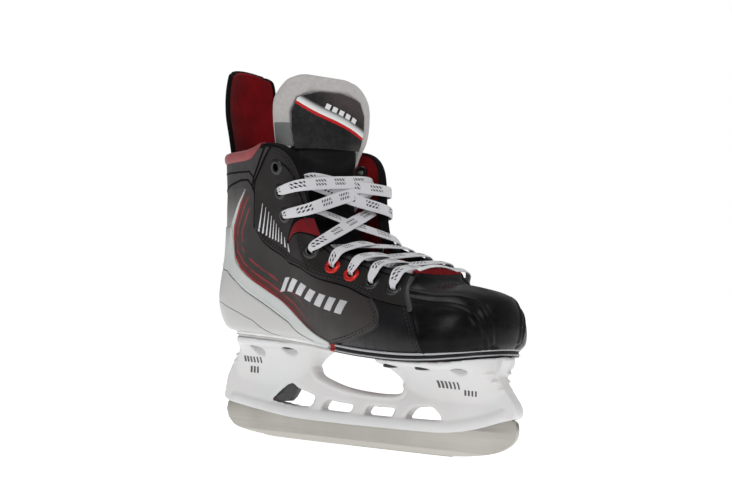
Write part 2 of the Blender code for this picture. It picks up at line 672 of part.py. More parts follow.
def build_spring():
    """Return spring between the trigger's arm and the roof of its pocket."""
    low, high, radius, turns, wire = 49.9, 57.4, 1.9, 4, 0.3
    curve = bpy.data.curves.new("trigger_spring", "CURVE")
    curve.dimensions = "3D"
    curve.bevel_depth = wire * MM
    curve.bevel_resolution = 1
    curve.use_fill_caps = True
    spline = curve.splines.new("POLY")
    count = turns * 10 + 1
    spline.points.add(count - 1)
    for k, point in enumerate(spline.points):
        a = 2 * math.pi * k / 10
        height = low + wire + (high - low - 2 * wire) * k / (count - 1)
        point.co = ((-75.4 + radius * math.cos(a)) * MM, radius * math.sin(a) * MM, height * MM, 1)
    curve.materials.append(STEEL)
    skate.objects.link(bpy.data.objects.new("trigger_spring", curve))


# ---------------------------------------------------------------- lace
def clear_of_tongue(point, margin):
    """Moves a point forward of the tongue's middle line until it clears it by the margin."""
    line = [along(TONGUE_LINE, k / 60) for k in range(61)]
    k = min(range(1, 60), key=lambda k: math.hypot(line[k][0] - point[0], line[k][1] - point[2]))
    run = line[k + 1] - line[k - 1]
    front = np.array([run[1], 0.0, -run[0]]) / math.hypot(run[0], run[1])
    height = (point[0] - line[k][0]) * front[0] + (point[2] - line[k][1]) * front[2]
    drop = line[k][3] * min(abs(point[1]) / line[k][2], 1.1) ** 2
    return point + front * max(margin - drop - height, 0.0)


def lace_nodes():
    """Two runs of (place, width, width direction), each from the inside of its lowest eyelet to its tail."""
    strands = []
    for first in (-1, 1):
        side, nodes = first, []
        for number in range(8, 1, -1):
            u, t = EYELETS[number - 1]
            hole, normal = surface(side * u, t), outward(side * u, t)
            edge = nearest_edge(side * u, t)
            rim, rim_normal = surface(edge, top_of(edge)), outward(edge, top_of(edge))
            ahead = surface(edge + 0.1, top_of(edge)) - surface(edge - 0.1, top_of(edge))
            ahead *= side / np.linalg.norm(ahead)
            if number > 2:
                next_u, next_t = EYELETS[number - 2]
                far_edge = nearest_edge(-side * next_u, next_t)
            else:
                far_edge = -side * 4.3
            far, far_normal = surface(far_edge, top_of(far_edge)), outward(far_edge, top_of(far_edge))
            neck = [(-8.4, LACE_NECK_WIDTH + 1)] + [(depth, LACE_NECK_WIDTH) for depth in (-6.4, -1.5, 3.4)]
            for depth, width in neck:
                nodes.append((hole + depth * normal, width, ahead))
            nodes.append((hole + 5.4 * normal + 0.3 * (rim - hole), 6.0, ahead))
            nodes.append((rim + 4.2 * rim_normal, LACE_WIDTH - 1, ahead))
            over = first * (1 if number % 2 else -1)
            middle = clear_of_tongue((rim + 3.5 * rim_normal + far - 5 * far_normal) / 2, 4.0)
            lifted = np.array([0.35, 0, 0.9]) * (1.9 if over > 0 else 0)
            nodes.append((middle + lifted, LACE_WIDTH, ahead))
            nodes.append((clear_of_tongue(far - 8.4 * far_normal, 3.0), LACE_WIDTH - 1.5, ahead))
            side = -side
        for u, t, depth in ((3.6, 0.78, 9.0), (3.3, 0.7, 9.2), (3.2, 0.6, 9.4), (3.2, 0.5, 9.6)):
            nodes.append((layer(side * u, t, -depth), LACE_WIDTH - 2.5, np.array([0.94, 0, 0.35])))
        strands.append(nodes)
    start, end = strands[0][0][0], strands[1][0][0]
    bar = [
        (clear_of_tongue(start + (end - start) * f, 3.8), LACE_WIDTH - 1, strands[0][0][2])
        for f in (0.15, 0.32, 0.5, 0.68, 0.85)
    ]
    return strands[0][::-1] + bar + strands[1]


def build_lace():
    nodes = lace_nodes()
    places, widths, hints = (np.array([np.atleast_1d(node[k]) for node in nodes], float) for k in range(3))
    count = 2 * (len(nodes) - 1)
    path = [along(places, k / count) for k in range(count + 1)]
    loops = []
    for k, place in enumerate(path):
        tangent = path[min(k + 1, count)] - path[max(k - 1, 0)]
        tangent /= np.linalg.norm(tangent)
        hint = along(hints, k / count)
        wide = hint - (hint @ tangent) * tangent
        wide /= np.linalg.norm(wide)
        thin = np.cross(tangent, wide)
        half = along(widths, k / count)[0] / 2
        corners = [(-half, -1), (half, -1), (half, 1), (-half, 1)]
        loops.append([place + wide * a + thin * b * LACE_THICKNESS / 2 for a, b in corners])
    loft("lace", loops, LACE_WHITE)


holes = {
    side: eyelet_cutter(side, word + "_eyelet_holes", 1.5, EYELET_HOLE_RADIUS, 16)
    for side, word in ((1, "medial"), (-1, "lateral"))
}
build_quarters(holes)
build_liner()
build_facings(holes)
build_heel_counter()
build_collar_band()
build_toe_cap()
build_ankle_pads()
build_rivets()
build_eyelets()
build_tongue()
build_tendon_guard()
build_holder(build_sole())
build_runner()
build_trigger()
build_lace()
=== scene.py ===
"""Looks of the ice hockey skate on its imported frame: upper, tongue, lace, blade holder and runner.

Lengths are millimetres, and MM turns them into metres. A place on the boot is (u, t): u counts ribs
round the boot from 0 at the heel to +11 (inner side) or -11 (outer side) at the toe, and t climbs
from 0 at the sole to 1 at the upper's free edge. Lines that both sides share are (s, t), s = |u|.
"""

import math

import bmesh
import bpy
import numpy as np
from mathutils import Matrix, Vector
from mathutils.bvhtree import BVHTree


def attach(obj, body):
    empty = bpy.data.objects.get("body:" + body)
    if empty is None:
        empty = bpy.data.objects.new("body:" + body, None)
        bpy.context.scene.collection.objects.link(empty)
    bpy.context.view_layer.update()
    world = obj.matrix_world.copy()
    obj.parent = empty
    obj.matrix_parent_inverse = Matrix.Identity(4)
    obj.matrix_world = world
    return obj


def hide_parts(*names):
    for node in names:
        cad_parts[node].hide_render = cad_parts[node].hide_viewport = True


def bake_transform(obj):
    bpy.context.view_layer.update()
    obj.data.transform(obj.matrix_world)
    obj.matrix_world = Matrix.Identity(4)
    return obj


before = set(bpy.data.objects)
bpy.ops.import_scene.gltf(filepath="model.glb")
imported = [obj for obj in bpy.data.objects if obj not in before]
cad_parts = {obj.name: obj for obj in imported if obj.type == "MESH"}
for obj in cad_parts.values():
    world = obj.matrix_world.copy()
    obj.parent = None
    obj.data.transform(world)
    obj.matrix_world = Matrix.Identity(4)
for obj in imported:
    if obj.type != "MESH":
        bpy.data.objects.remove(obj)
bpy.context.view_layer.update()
MM = 0.001
WELD = 1e-6  # metres within which points of an outline or a turned piece are one
SIDES = ((1, "medial"), (-1, "lateral"))  # sign of y and name of each side
UP = (0, 0, 1)

# ---------------------------------------------------------------- the part's own measures
SOLE_LINE = [  # (x, z)
    (-105, 66.8), (-60, 66.0), (-30, 64.3), (0, 61.5), (30, 59.7), (60, 59.2), (85, 60.6),
    (105, 63.8), (115, 66),
]
OUTSOLE_THICKNESS = 3.5
GAP = 0.3
BOARD_THICKNESS, BOARD_INSET = 2.0, 7.0
FOOTBED_THICKNESS, FOOTBED_INSET, FOOTBED_LIFT = 3.0, 7.6, 2.0
TOE_SHIFT = 2.5
RIBS = [  # one for each u: (x, y) on the sole, then (x, y, z) up to the free edge
    [(-102, 0), (-113.5, 0, 74), (-118, 0, 91), (-113.5, 0, 120), (-112.3, 0, 150), (-112, 0, 183)],
    [
        (-93, 19.5), (-102, 21.5, 74.5), (-107.5, 22.5, 91), (-103.5, 23, 120), (-101.5, 25, 150),
        (-99, 30.5, 184),
    ],
    [(-74, 27.5), (-77, 30.5, 75), (-80, 32, 92), (-78, 33, 122), (-74, 36.5, 152), (-69, 43, 186)],
    [(-50, 28.5), (-51, 32, 75), (-54, 33.5, 95), (-55, 34.5, 123), (-51.5, 39, 156), (-47, 46, 191)],
    [(-25, 30), (-27, 34, 75), (-33, 36, 98), (-36, 37.5, 125), (-33.5, 41, 152), (-27, 44.5, 181)],
    [(0, 33), (-1, 38, 73), (-5, 41, 90), (-9.5, 41.5, 108), (-13.5, 40, 123), (-11, 33, 135)],
    [(28, 39), (27, 43, 71), (24, 44, 85), (20, 42, 99), (17, 37, 110.5), (18.5, 28, 122)],
    [(58, 43), (57.5, 45.5, 70), (56, 45, 81), (53, 41.5, 92), (49.5, 35.5, 102.5), (51, 25.5, 115)],
    [(79, 40.5), (80, 43, 71), (79, 42, 80), (75.5, 38, 90), (71, 28, 100.5), (63, 0, 106.5)],
    [(92.5, 33.5), (95, 36, 71), (94.5, 35.5, 81), (92, 32, 91), (87, 23, 100.5), (75, 0, 106)],
    [(100.5, 20), (104, 22.5, 72), (104.2, 22.5, 82), (102, 20.5, 91.5), (97.5, 14, 99.5), (85, 0, 104.8)],
    [(103.5, 0), (107.5, 0, 73), (108, 0, 83), (106, 0, 93), (102, 0, 99), (91, 0, 103.5)],
]
TIP = len(RIBS) - 1  # u at the tip of the toe
QUARTER_THICKNESS = 2.4
OVERLAY_OUTER, OVERLAY_THICKNESS = 1.5, 0.9
LINER_OUTER, LINER_THICKNESS = -3.1, 1.6
PAD_OUTER, PAD_THICKNESS = -5.4, 4.0
TOE_CAP_OUTER, TOE_CAP_THICKNESS = 0.9, 2.6
TOE_CAP_START = [(0, 8.08), (0.25, 7.92), (0.58, 7.72), (0.9, 7.45), (1.0, 7.42)]  # (t, s)
TOE_SEAM = 0.16
ANKLE = 4.0  # s from which panels are drawn in to the toe cap's seam
LINER_TOP = [(0, 1.0), (6.5, 1.0), (7.0, 0.66), (7.4, 0.6)]
INNER_THROAT_TOP = [(0, 1.0), (6.2, 1.0), (7.4, 0.95), (8, 0.95), (11, 1.0)]
OUTER_THROAT_TOP = [(0, 1.0), (4.4, 1.0), (5.4, 0.95), (8, 0.95), (11, 1.0)]
FACING_SEAM = [  # (s, t), like the three tables above and the two below
    (2.42, 0.70), (2.55, 0.684), (2.85, 0.639), (3.88, 0.558), (4.18, 0.546),
    (4.95, 0.602), (5.9, 0.651), (6.5, 0.62), (7.45, 0.62),
]
FACING_TOP = [(2.42, 0.885), (3.15, 1.0), (8, 1.0)]
EYELETS = [
    (3.38, 0.924), (3.62, 0.836), (3.93, 0.753), (4.99, 0.803),
    (5.57, 0.79), (6.02, 0.784), (6.49, 0.783), (6.99, 0.784),
]
RED_EYELETS = (5, 6)
EYELET_HOLE, LINER_HOLE = (1.5, 3.9, 16), (6.0, 5.1, 10)  # (depth of its middle, radius, length)
TONGUE_LINE = [  # (x, z, half width, drop of its edges)
    (56, 99.5, 12, 4), (45, 105, 18, 7), (28, 111.5, 22, 10), (10, 117.5, 25, 12),
    (-5, 126, 27, 12), (-17, 138, 25.5, 13), (-26, 153, 27, 13.5), (-32, 170, 29, 12),
    (-36, 187, 33, 8.5),
]
TONGUE_TOP_LINE = [  # (x, z, half width, drop of its edges)
    (-36.3, 188.5, 33.5, 8), (-37.2, 200, 37, 5), (-37.8, 213, 38.5, 4.5), (-38, 223, 37.5, 4.5),
    (-38, 231, 32, 4), (-37.6, 235.5, 25, 3), (-37.2, 238, 15, 2),
]
TONGUE_THICKNESS, TONGUE_TOP_THICKNESS = 6.0, 7.0
TONGUE_TURN_DEG = 14.0
PILLOW_SQUARENESS, FELT_FLATNESS = 2.6, 3.6
BADGE_HALF_WIDTHS = [(4, 26), (14, 28.5), (26, 29), (35, 25), (39.5, 16)]  # (height, half width)
GUARD_LINE = [  # (x of its back, z, radius, half angle in degrees)
    (-112.2, 186, 31, 52), (-116, 200, 30.5, 55), (-119.6, 214, 30, 56),
    (-120.6, 228, 29, 56), (-118.6, 239, 28, 50), (-117, 244.5, 27, 38),
]
LACE_WIDTH, LACE_THICKNESS, LACE_NECK_WIDTH = 8.5, 1.1, 3.4
WEB_OUTLINE = [  # (x, z), like the windows, the runner, the trigger and its pocket
    (-118, 22.6), (-102, 19.2), (-85, 17), (-66, 14.8), (-49, 13.8), (-15, 13.5), (19, 13.6),
    (45, 13.8), (68, 14.6), (84, 17), (98, 20.6), (110, 24.4), (119, 27.2), (120.6, 31),
    (118.5, 36), (112, 44), (107, 52), (104.5, 66), (24, 66), (25, 56), (31, 48), (37.5, 41),
    (38.2, 36), (33, 32.4), (11, 31.3), (-13.5, 33.4), (-34, 38.4), (-41.5, 44.5), (-39, 52),
    (-32, 58), (-27, 66), (-99, 66), (-102, 60), (-107, 54), (-112.5, 46), (-116.5, 38),
    (-118, 30),
]
WINDOWS = [
    [(-60, 36), (-74, 25.8), (-71, 24), (-45, 22), (-38.5, 28.5), (-41, 30.5), (-52, 33.5)],
    [(-28, 27.6), (-33, 21.6), (-31.5, 21), (-11, 21), (-6, 25.2), (-8, 26.5), (-18, 27)],
    [(7, 26.4), (3, 21), (5, 20.5), (23, 20.5), (28, 25.5), (26.5, 26.8), (16, 26.4)],
    [(42, 27.5), (36.5, 21.6), (38, 21), (60, 21.6), (65, 23), (58, 29.4), (50, 29)],
]
WEB_HALF_THICKNESS = 4.6
FRONT_PILLAR = [  # (z, rear x, front x, half width)
    (66, 19, 105.5, 36.5), (57, 21, 105.5, 35), (54, 24, 105.7, 26), (50, 28.5, 107, 18),
    (45, 33, 110.5, 11), (39, 36, 115, 6.6), (33, 38, 119.5, 4.2),
]
REAR_PILLAR = [  # (z, rear x, front x, half width)
    (68, -101, -24, 27.5), (62.5, -101.5, -26, 26.5), (58.5, -103.5, -31, 19),
    (53, -107.5, -36.5, 13), (46, -112.5, -40, 8), (38, -116.5, -46, 5.2), (30, -118, -56, 4.2),
]
PILLAR_SQUARENESS = 2.7
RUNNER_OUTLINE = [
    (-62, 0), (58, 0), (72, 0.6), (85, 1.6), (98, 3.6), (107, 6.2), (114, 10), (118.4, 14.6),
    (119.7, 19.5), (118.6, 24.6), (114.5, 26.6), (106.5, 24.6), (106.5, 37), (97.5, 37),
    (97, 21.5), (84, 18.6), (68, 17.6), (-79, 17.6), (-79, 42.1), (-81.2, 42.1), (-81.2, 43.3),
    (-79, 50), (-79, 53.5), (-88.5, 53.5), (-89, 19.6), (-104, 21.4), (-114, 22.6), (-117.8, 20.6),
    (-119, 15.5), (-117, 10), (-111, 5.2), (-101, 2.8), (-86, 1.2),
]
RUNNER_THICKNESS, SLOT_CLEARANCE = 3.0, 0.35
TRIGGER_PIVOT = (-72, 31)
TRIGGER_OUTLINE = [
    (-80.8, 43), (-78.4, 42.5), (-78.2, 36), (-77.5, 31), (-76, 27.2), (-74, 25.4), (-66, 24.2),
    (-62, 24.6), (-58.8, 27.5), (-56.4, 31), (-54, 35), (-56, 37.4), (-63, 38.5), (-68, 40.5),
    (-71, 44), (-72.5, 49), (-78.4, 49.2), (-78.4, 48.4),
]
TRIGGER_HALF_THICKNESS = 2.6
TRIGGER_POCKET = [
    (-79.1, 40), (-79.1, 21.1), (-54, 21.1), (-51.5, 28), (-51.5, 39),
    (-61, 41.5), (-64.5, 46), (-64.5, 58), (-81.8, 58), (-81.8, 40),
]
POCKET_HALF_WIDTH = 3.0
RIVETS = {"front": [(42, 27), (67, 27.5), (91, 23)], "rear": [(-77, 18), (-49, 18)]}
FLANGE_THICKNESS = 3.2
SHANK_HOLE_RADIUS, WELL_RADIUS = 2.5, 5.0

# ---------------------------------------------------------------- lines of the upper's look, as (s, t)
WHITE_EDGE = [
    (1.98, 0.875), (1.73, 0.818), (1.5, 0.724), (1.53, 0.60), (1.89, 0.535), (2.9, 0.427),
    (3.9, 0.30), (4.89, 0.09), (5.0, -0.05),
]
WHITE_PANEL = WHITE_EDGE + [(-0.5, -0.05), (-0.5, 0.88)]
PANEL_LINES = [
    [(1.37, 0.527), (1.9, 0.468), (2.44, 0.404), (2.86, 0.346), (3.67, 0.236), (4.37, 0.03)],
    [(1.28, 0.37), (1.87, 0.31), (2.35, 0.246), (3.22, 0.0)],
]
PANEL_BASE = [
    [(4.4, -0.05), (-0.5, -0.05), (-0.5, 0.545), (0.9, 0.545)],
    [(3.25, -0.05), (-0.5, -0.05), (-0.5, 0.385), (0.9, 0.385)],
]
GREY_FRONT = [
    (6.51, 0.70), (6.51, 0.623), (6.64, 0.497), (6.61, 0.375), (6.28, 0.271), (5.18, 0.051),
    (4.95, -0.05),
]
SPLIT_STITCH = [(4.9, 0.64), (4.75, 0.70), (4.55, 0.78)]
PINSTRIPE_TOPS = [(2.76, 0.791), (4.41, 0.602)]
PINSTRIPE_FEET = [(2.63, 0.685), (4.48, 0.578)]
PINSTRIPE_COUNT, PINSTRIPE_STEPS = 10, 11
BAR_COUNT, BAR_SHARE = 7, 0.62
NOTCH = [(4.74, 0.985), (5.02, 0.965), (4.14, 0.648), (4.14, 0.648)]
NOTCH_TRIM = [(4.66, 0.995), (5.10, 0.975), (4.10, 0.632), (4.08, 0.640)]
BAR_ZONE = [(3.75, 0.462), (5.99, 0.514), (5.85, 0.385), (3.55, 0.40)]


# ---------------------------------------------------------------- curves and the boot surface
def flow(p0, p1, p2, p3, f):
    """Catmull-Rom curve from p1 to p2."""
    bend, twist = 2 * p0 - 5 * p1 + 4 * p2 - p3, 3 * p1 - p0 - 3 * p2 + p3
    return 0.5 * (2 * p1 + (p2 - p0) * f + bend * f * f + twist * f**3)


def along(points, f):
    """Smooth open curve through points, at places f from 0 to 1."""
    points = np.asarray(points, float)
    padded = np.vstack([2 * points[0] - points[1], points, 2 * points[-1] - points[-2]])
    place = np.clip(np.asarray(f, float), 0, 1) * (len(points) - 1)
    i = np.minimum(place.astype(int), len(points) - 2)
    part = (place - i)[..., None]
    return flow(padded[i], padded[i + 1], padded[i + 2], padded[i + 3], part)


def rounded(points, per_step=8):
    """A closed outline with its corners softened by a Catmull-Rom curve."""
    p = np.asarray(points, float)
    f = np.arange(per_step)[:, None, None] / per_step
    made = flow(np.roll(p, 1, 0)[None], p[None], np.roll(p, -1, 0)[None], np.roll(p, -2, 0)[None], f)
    return made.transpose(1, 0, 2).reshape(-1, p.shape[1])


def table_at(points, x):
    """Straight interpolation in a list of (x, value) points."""
    return np.interp(x, *np.asarray(points, float).T)


def soft_table(points, x):
    """Interpolation in a list of (x, value) points with soft corners."""
    return table_at(along(points, np.linspace(0, 1, 12 * len(points))), x)


def smoothstep(x):
    """0 below 0, 1 above 1, soft between."""
    x = np.clip(x, 0, 1)
    return x * x * (3 - 2 * x)


def sole_height(x):
    """Height of the outsole's underside."""
    xs, zs = np.array(SOLE_LINE, float).T
    slopes = np.gradient(zs, xs)
    x = np.clip(x, xs[0], xs[-1])
    i = np.clip(np.searchsorted(xs, x) - 1, 0, len(xs) - 2)
    width = xs[i + 1] - xs[i]
    f = (x - xs[i]) / width
    rise = smoothstep(f)
    bend = width * f * (1 - f) * ((1 - f) * slopes[i] - f * slopes[i + 1])
    return (1 - rise) * zs[i] + rise * zs[i + 1] + bend


def centre_shift(x):
    """How far the boot's middle line bends to the inner side towards the toe."""
    return TOE_SHIFT * smoothstep((np.asarray(x, float) - 10) / 90)


def hull():
    """The ribs all the way round the boot, with the sole's height put in."""
    ribs = [[(x, y, float(sole_height(x)) + OUTSOLE_THICKNESS + GAP), *above] for (x, y), *above in RIBS]
    inner = np.array(ribs, float)
    return np.concatenate([inner, inner[-2:0:-1] * (1, -1, 1)])


HULL = hull()


def surface(u, t):
    """Points of the boot surface at arrays of (u, t)."""
    u, t = np.broadcast_arrays(np.asarray(u, float), np.asarray(t, float))
    i = np.floor(u).astype(int)
    part = (u - i)[..., None, None]
    ribs = flow(*[HULL[(i + k) % len(HULL)] for k in (-1, 0, 1, 2)], part)
    first = 2 * ribs[..., :1, :] - ribs[..., 1:2, :]
    last = 2 * ribs[..., -1:, :] - ribs[..., -2:-1, :]
    padded = np.concatenate([first, ribs, last], axis=-2)
    place = t * (ribs.shape[-2] - 1)
    j = np.clip(np.floor(place).astype(int), 0, ribs.shape[-2] - 2)
    picks = [(j + k)[..., None, None].repeat(3, -1) for k in range(4)]
    taken = [np.take_along_axis(padded, pick, axis=-2)[..., 0, :] for pick in picks]
    point = flow(*taken, (place - j)[..., None])
    inner = (u % len(HULL)) <= TIP
    point[..., 1] = np.where(inner, np.maximum(point[..., 1], 0), np.minimum(point[..., 1], 0))
    point[..., 1] += centre_shift(point[..., 0])
    return point


def unit(v):
    """Vectors scaled to length 1."""
    return v / np.maximum(np.linalg.norm(v, axis=-1, keepdims=True), 1e-9)


def outward(u, t):
    """Unit normals of the boot surface."""
    step = 0.02
    u, t = np.broadcast_arrays(np.asarray(u, float), np.asarray(t, float))
    across = surface(u + step, t) - surface(u - step, t)
    up = surface(u, np.minimum(t + step, 1.0)) - surface(u, t - step)
    return unit(np.cross(up, across))


def layer(u, t, distance):
    """Points a distance in mm outside the boot surface."""
    return surface(u, t) + np.asarray(distance, float)[..., None] * outward(u, t)


def top_of(u):
    """The t of the upper's free edge."""
    u = np.asarray(u, float)
    return np.where(u >= 0, table_at(INNER_THROAT_TOP, abs(u)), table_at(OUTER_THROAT_TOP, abs(u)))


def seam_at(t):
    """The s of the toe cap's seam."""
    return soft_table(TOE_CAP_START, t)


def softened(line):
    """An open line of (s, t) with its corners softened."""
    return [tuple(p) for p in along(line, np.linspace(0, 1, 60))]


def mileage(points):
    """Length in mm of a line up to each of its points."""
    return np.concatenate([[0], np.cumsum(np.linalg.norm(np.diff(points, axis=0), axis=1))])


def oval(sides, wide_power, high_power=None):
    """Across and up parts, from -1 to 1, of a closed section with softened corners."""
    a = np.linspace(0, 2 * math.pi, sides, endpoint=False)
    powers = wide_power, high_power or wide_power
    return [np.sign(v) * abs(v) ** power for v, power in zip((np.cos(a), np.sin(a)), powers)]


def swept(path, across, up, x, y):
    """Rings of points along a path, x mm across it and y mm up from it."""
    return path[:, None] + across[:, None] * x[..., None] + up[:, None] * y[..., None]


def between(a, b, f):
    """Places at shares f of the way from a to b."""
    return a * (1 - f) + b * f


def dense_line(line, step=0.04):
    """A line of (s, t) points with many points between its corners."""
    line = np.asarray(line, float)
    made = [line[:1]]
    for a, b in zip(line, line[1:]):
        count = max(int(np.hypot(b[0] - a[0], 4 * (b[1] - a[1])) / step), 1)
        made.append(a + (b - a) * (np.arange(1, count + 1) / count)[:, None])
    return np.concatenate(made)


def line_distance(points, line):
    """Distance in mm from points (n, 3) to a line through points (m, 3)."""
    best = np.full(len(points), 1e9)
    for a, b in zip(line, line[1:]):
        run = b - a
        f = np.clip((points - a) @ run / max(run @ run, 1e-9), 0, 1)
        best = np.minimum(best, np.linalg.norm(points - a - f[:, None] * run, axis=1))
    return best


def inside(s, t, outline):
    """Which (s, t) places lie inside a closed outline."""
    hit = np.zeros(s.shape, bool)
    for (x0, y0), (x1, y1) in zip(outline, outline[1:] + outline[:1]):
        crosses = (y0 > t) != (y1 > t)
        hit ^= crosses & (s < (x1 - x0) * (t - y0) / (y1 - y0 + 1e-12) + x0)
    return hit


def region_depth(u, t, outline):
    """Signed distance in mm to an outline on the boot, positive inside it, for both sides of the boot."""
    side = np.where(u < 0, -1, 1).reshape(-1)
    points = surface(u, t).reshape(-1, 3)
    made = np.zeros(len(points))
    line = dense_line(outline + outline[:1])
    for way in (-1, 1):
        chosen = side == way
        if chosen.any():
            made[chosen] = line_distance(points[chosen], surface(way * line[:, 0], line[:, 1]))
    sign = np.where(inside(np.abs(u), t, outline), 1, -1).reshape(-1)
    return (made * sign).reshape(u.shape)


def stroke_distance(u, t, line):
    """Distance in mm to an open line on the boot, on both sides."""
    points = surface(u, t).reshape(-1, 3)
    dense = dense_line(line)
    made = [line_distance(points, surface(way * dense[:, 0], dense[:, 1])) for way in (-1, 1)]
    return np.minimum(*made).reshape(u.shape)


# ---------------------------------------------------------------- mesh helpers
def grid_faces(rows, cols, ring=False, caps=False, start=0):
    """Faces of a grid of points; a ring's last column meets its first, and caps close its two ends."""
    index = start + np.arange(rows * cols).reshape(rows, cols)
    over = np.concatenate([index, index[:, :1]], axis=1) if ring else index
    quads = np.stack([over[:-1, :-1], over[:-1, 1:], over[1:, 1:], over[1:, :-1]], -1)
    faces = quads.reshape(-1, 4).tolist()
    if caps:
        faces += [index[0].tolist()[::-1], index[-1].tolist()]
    return faces


def grid_mesh(name, points, values=None, ring=False, caps=False):
    """A mesh from a (rows, columns, 3) array in mm, with named values at its points."""
    rows, cols = points.shape[:2]
    mesh = bpy.data.meshes.new(name)
    mesh.from_pydata((points.reshape(-1, 3) * MM).tolist(), [], grid_faces(rows, cols, ring, caps))
    for key, value in (values or {}).items():
        made = mesh.attributes.new(key, "FLOAT", "POINT")
        made.data.foreach_set("value", np.broadcast_to(value, (rows, cols)).astype(np.float32).ravel())
    mesh.update()
    return mesh


def add(name, mesh, finish):
    """Links a mesh as an object with one finish."""
    made = bpy.data.objects.new(name, mesh)
    bpy.context.scene.collection.objects.link(made)
    if finish is not None:
        mesh.materials.append(finish)
    return made


def mend(mesh, weld=0.0, upward=False):
    """Welds points within `weld` metres and turns the faces outwards, or a sheet's faces upwards."""
    bm = bmesh.new()
    bm.from_mesh(mesh)
    if weld:
        bmesh.ops.remove_doubles(bm, verts=bm.verts, dist=weld)
    bmesh.ops.recalc_face_normals(bm, faces=bm.faces)
    if upward and sum(face.normal.z for face in bm.faces) < 0:
        bmesh.ops.reverse_faces(bm, faces=bm.faces)
    bm.to_mesh(mesh)
    bm.free()
    return mesh


def smooth_shade(made, sharp_deg):
    """Shades an object smooth except at edges sharper than an angle."""
    made.data.shade_smooth()
    made.data.set_sharp_from_angle(angle=math.radians(sharp_deg))
    return made


def closed(name, loop, finish, values=None):
    """A closed piece from rings of points, its faces turned outwards."""
    return add(name, mend(grid_mesh(name, loop, values, ring=True, caps=True)), finish)


def bake(made, sharp_deg=50):
    """Turns an object's modifiers into its mesh."""
    bpy.context.view_layer.update()
    graph = bpy.context.evaluated_depsgraph_get()
    shown = made.evaluated_get(graph)
    mesh = bpy.data.meshes.new_from_object(shown, preserve_all_data_layers=True, depsgraph=graph)
    made.modifiers.clear()
    made.data = mesh
    mesh.name = made.name
    return smooth_shade(made, sharp_deg)


def round_edges(made, name, width, segments, over_deg):
    """Bevels the edges of an object that are sharper than an angle."""
    bevel = made.modifiers.new(name, "BEVEL")
    bevel.width = width * MM
    bevel.segments = segments
    bevel.limit_method = "ANGLE"
    bevel.angle_limit = math.radians(over_deg)


def thicken(made, thickness, edge=0.3):
    """Gives a sheet its thickness behind its front, and rounds its rim."""
    solid = made.modifiers.new("thickness", "SOLIDIFY")
    solid.thickness = thickness * MM
    solid.offset = -1.0
    if edge:
        round_edges(made, "rim", edge, 2, 55)
    return bake(made)


def carve(made, cutters, posts=()):
    """Joins the posts to a piece, cuts the cutters out of it and removes them all."""
    for tool in (*posts, *cutters):
        change = made.modifiers.new(tool.name, "BOOLEAN")
        change.operation = "UNION" if tool in posts else "DIFFERENCE"
        change.object = tool
        change.solver = "EXACT"
    bake(made)
    for tool in (*posts, *cutters):
        bpy.data.objects.remove(tool, do_unlink=True)
    return made


def plate(name, outlines, y_from, y_to, finish=None):
    """A flat piece between two Y places: the first outline (x, z) is its edge, the others its holes."""
    curve = bpy.data.curves.new(name, "CURVE")
    curve.dimensions = "2D"
    curve.fill_mode = "BOTH"
    curve.extrude = (y_to - y_from) / 2 * MM
    for outline in outlines:
        spline = curve.splines.new("POLY")
        spline.points.add(len(outline) - 1)
        for point, (x, z) in zip(spline.points, outline):
            point.co = (x * MM, z * MM, 0, 1)
        spline.use_cyclic_u = True
    guide = bpy.data.objects.new(name + "_guide", curve)
    bpy.context.scene.collection.objects.link(guide)
    bpy.context.view_layer.update()
    mesh = bpy.data.meshes.new_from_object(guide.evaluated_get(bpy.context.evaluated_depsgraph_get()))
    middle = Matrix.Translation((0, (y_from + y_to) / 2 * MM, 0))
    mend(mesh, WELD).transform(middle @ Matrix.Rotation(math.pi / 2, 4, "X"))
    bpy.data.objects.remove(guide, do_unlink=True)
    return add(name, mesh, finish)


def rods(name, places, sides=24):
    """A cutter of straight rods (centre, axis, radius, length)."""
    bm = bmesh.new()
    for centre, axis, radius, length in places:
        turn = Vector(axis).to_track_quat("Z", "Y").to_matrix().to_4x4()
        bmesh.ops.create_cone(
            bm, cap_ends=True, segments=sides, radius1=radius * MM, radius2=radius * MM, depth=length * MM,
            matrix=Matrix.Translation(Vector(centre) * MM) @ turn,
        )
    mesh = bpy.data.meshes.new(name)
    bm.to_mesh(mesh)
    bm.free()
    return add(name, mesh, None)


def turned(name, profile, place, axis, finish):
    """A ring or stud turned from a closed profile of (radius, height)."""
    profile = np.asarray(profile, float)
    a = np.linspace(0, 2 * math.pi, 40, endpoint=False)
    ring = np.stack([np.outer(np.cos(a), profile[:, 0]), np.outer(np.sin(a), profile[:, 0])], -1)
    points = np.concatenate([ring, np.broadcast_to(profile[:, 1], ring.shape[:2])[..., None]], -1)
    turn = np.array(Vector(axis).to_track_quat("Z", "Y").to_matrix())
    points = points @ turn.T + np.asarray(place, float)
    mesh = mend(grid_mesh(name, np.concatenate([points, points[:1]]), ring=True), WELD)
    return smooth_shade(add(name, mesh, finish), 40)


def settle(made, body, slot, *nodes):
    """Says what a piece rides on and hides the CAD nodes it stands for; the slot is not used."""
    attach(made, body)
    if nodes:
        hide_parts(*nodes)
    return made


def polyline(points, normals, step):
    """Places, tangents and normals every `step` mm along a line."""
    run = mileage(points)
    count = max(int(run[-1] / step), 1)
    at = (np.arange(count) + 0.5) * run[-1] / count

    def read(values, shift=0.0):
        return np.stack([np.interp(at + shift, run, column) for column in np.asarray(values, float).T], -1)

    return read(points), unit(read(points, 0.3) - read(points, -0.3)), unit(read(normals))


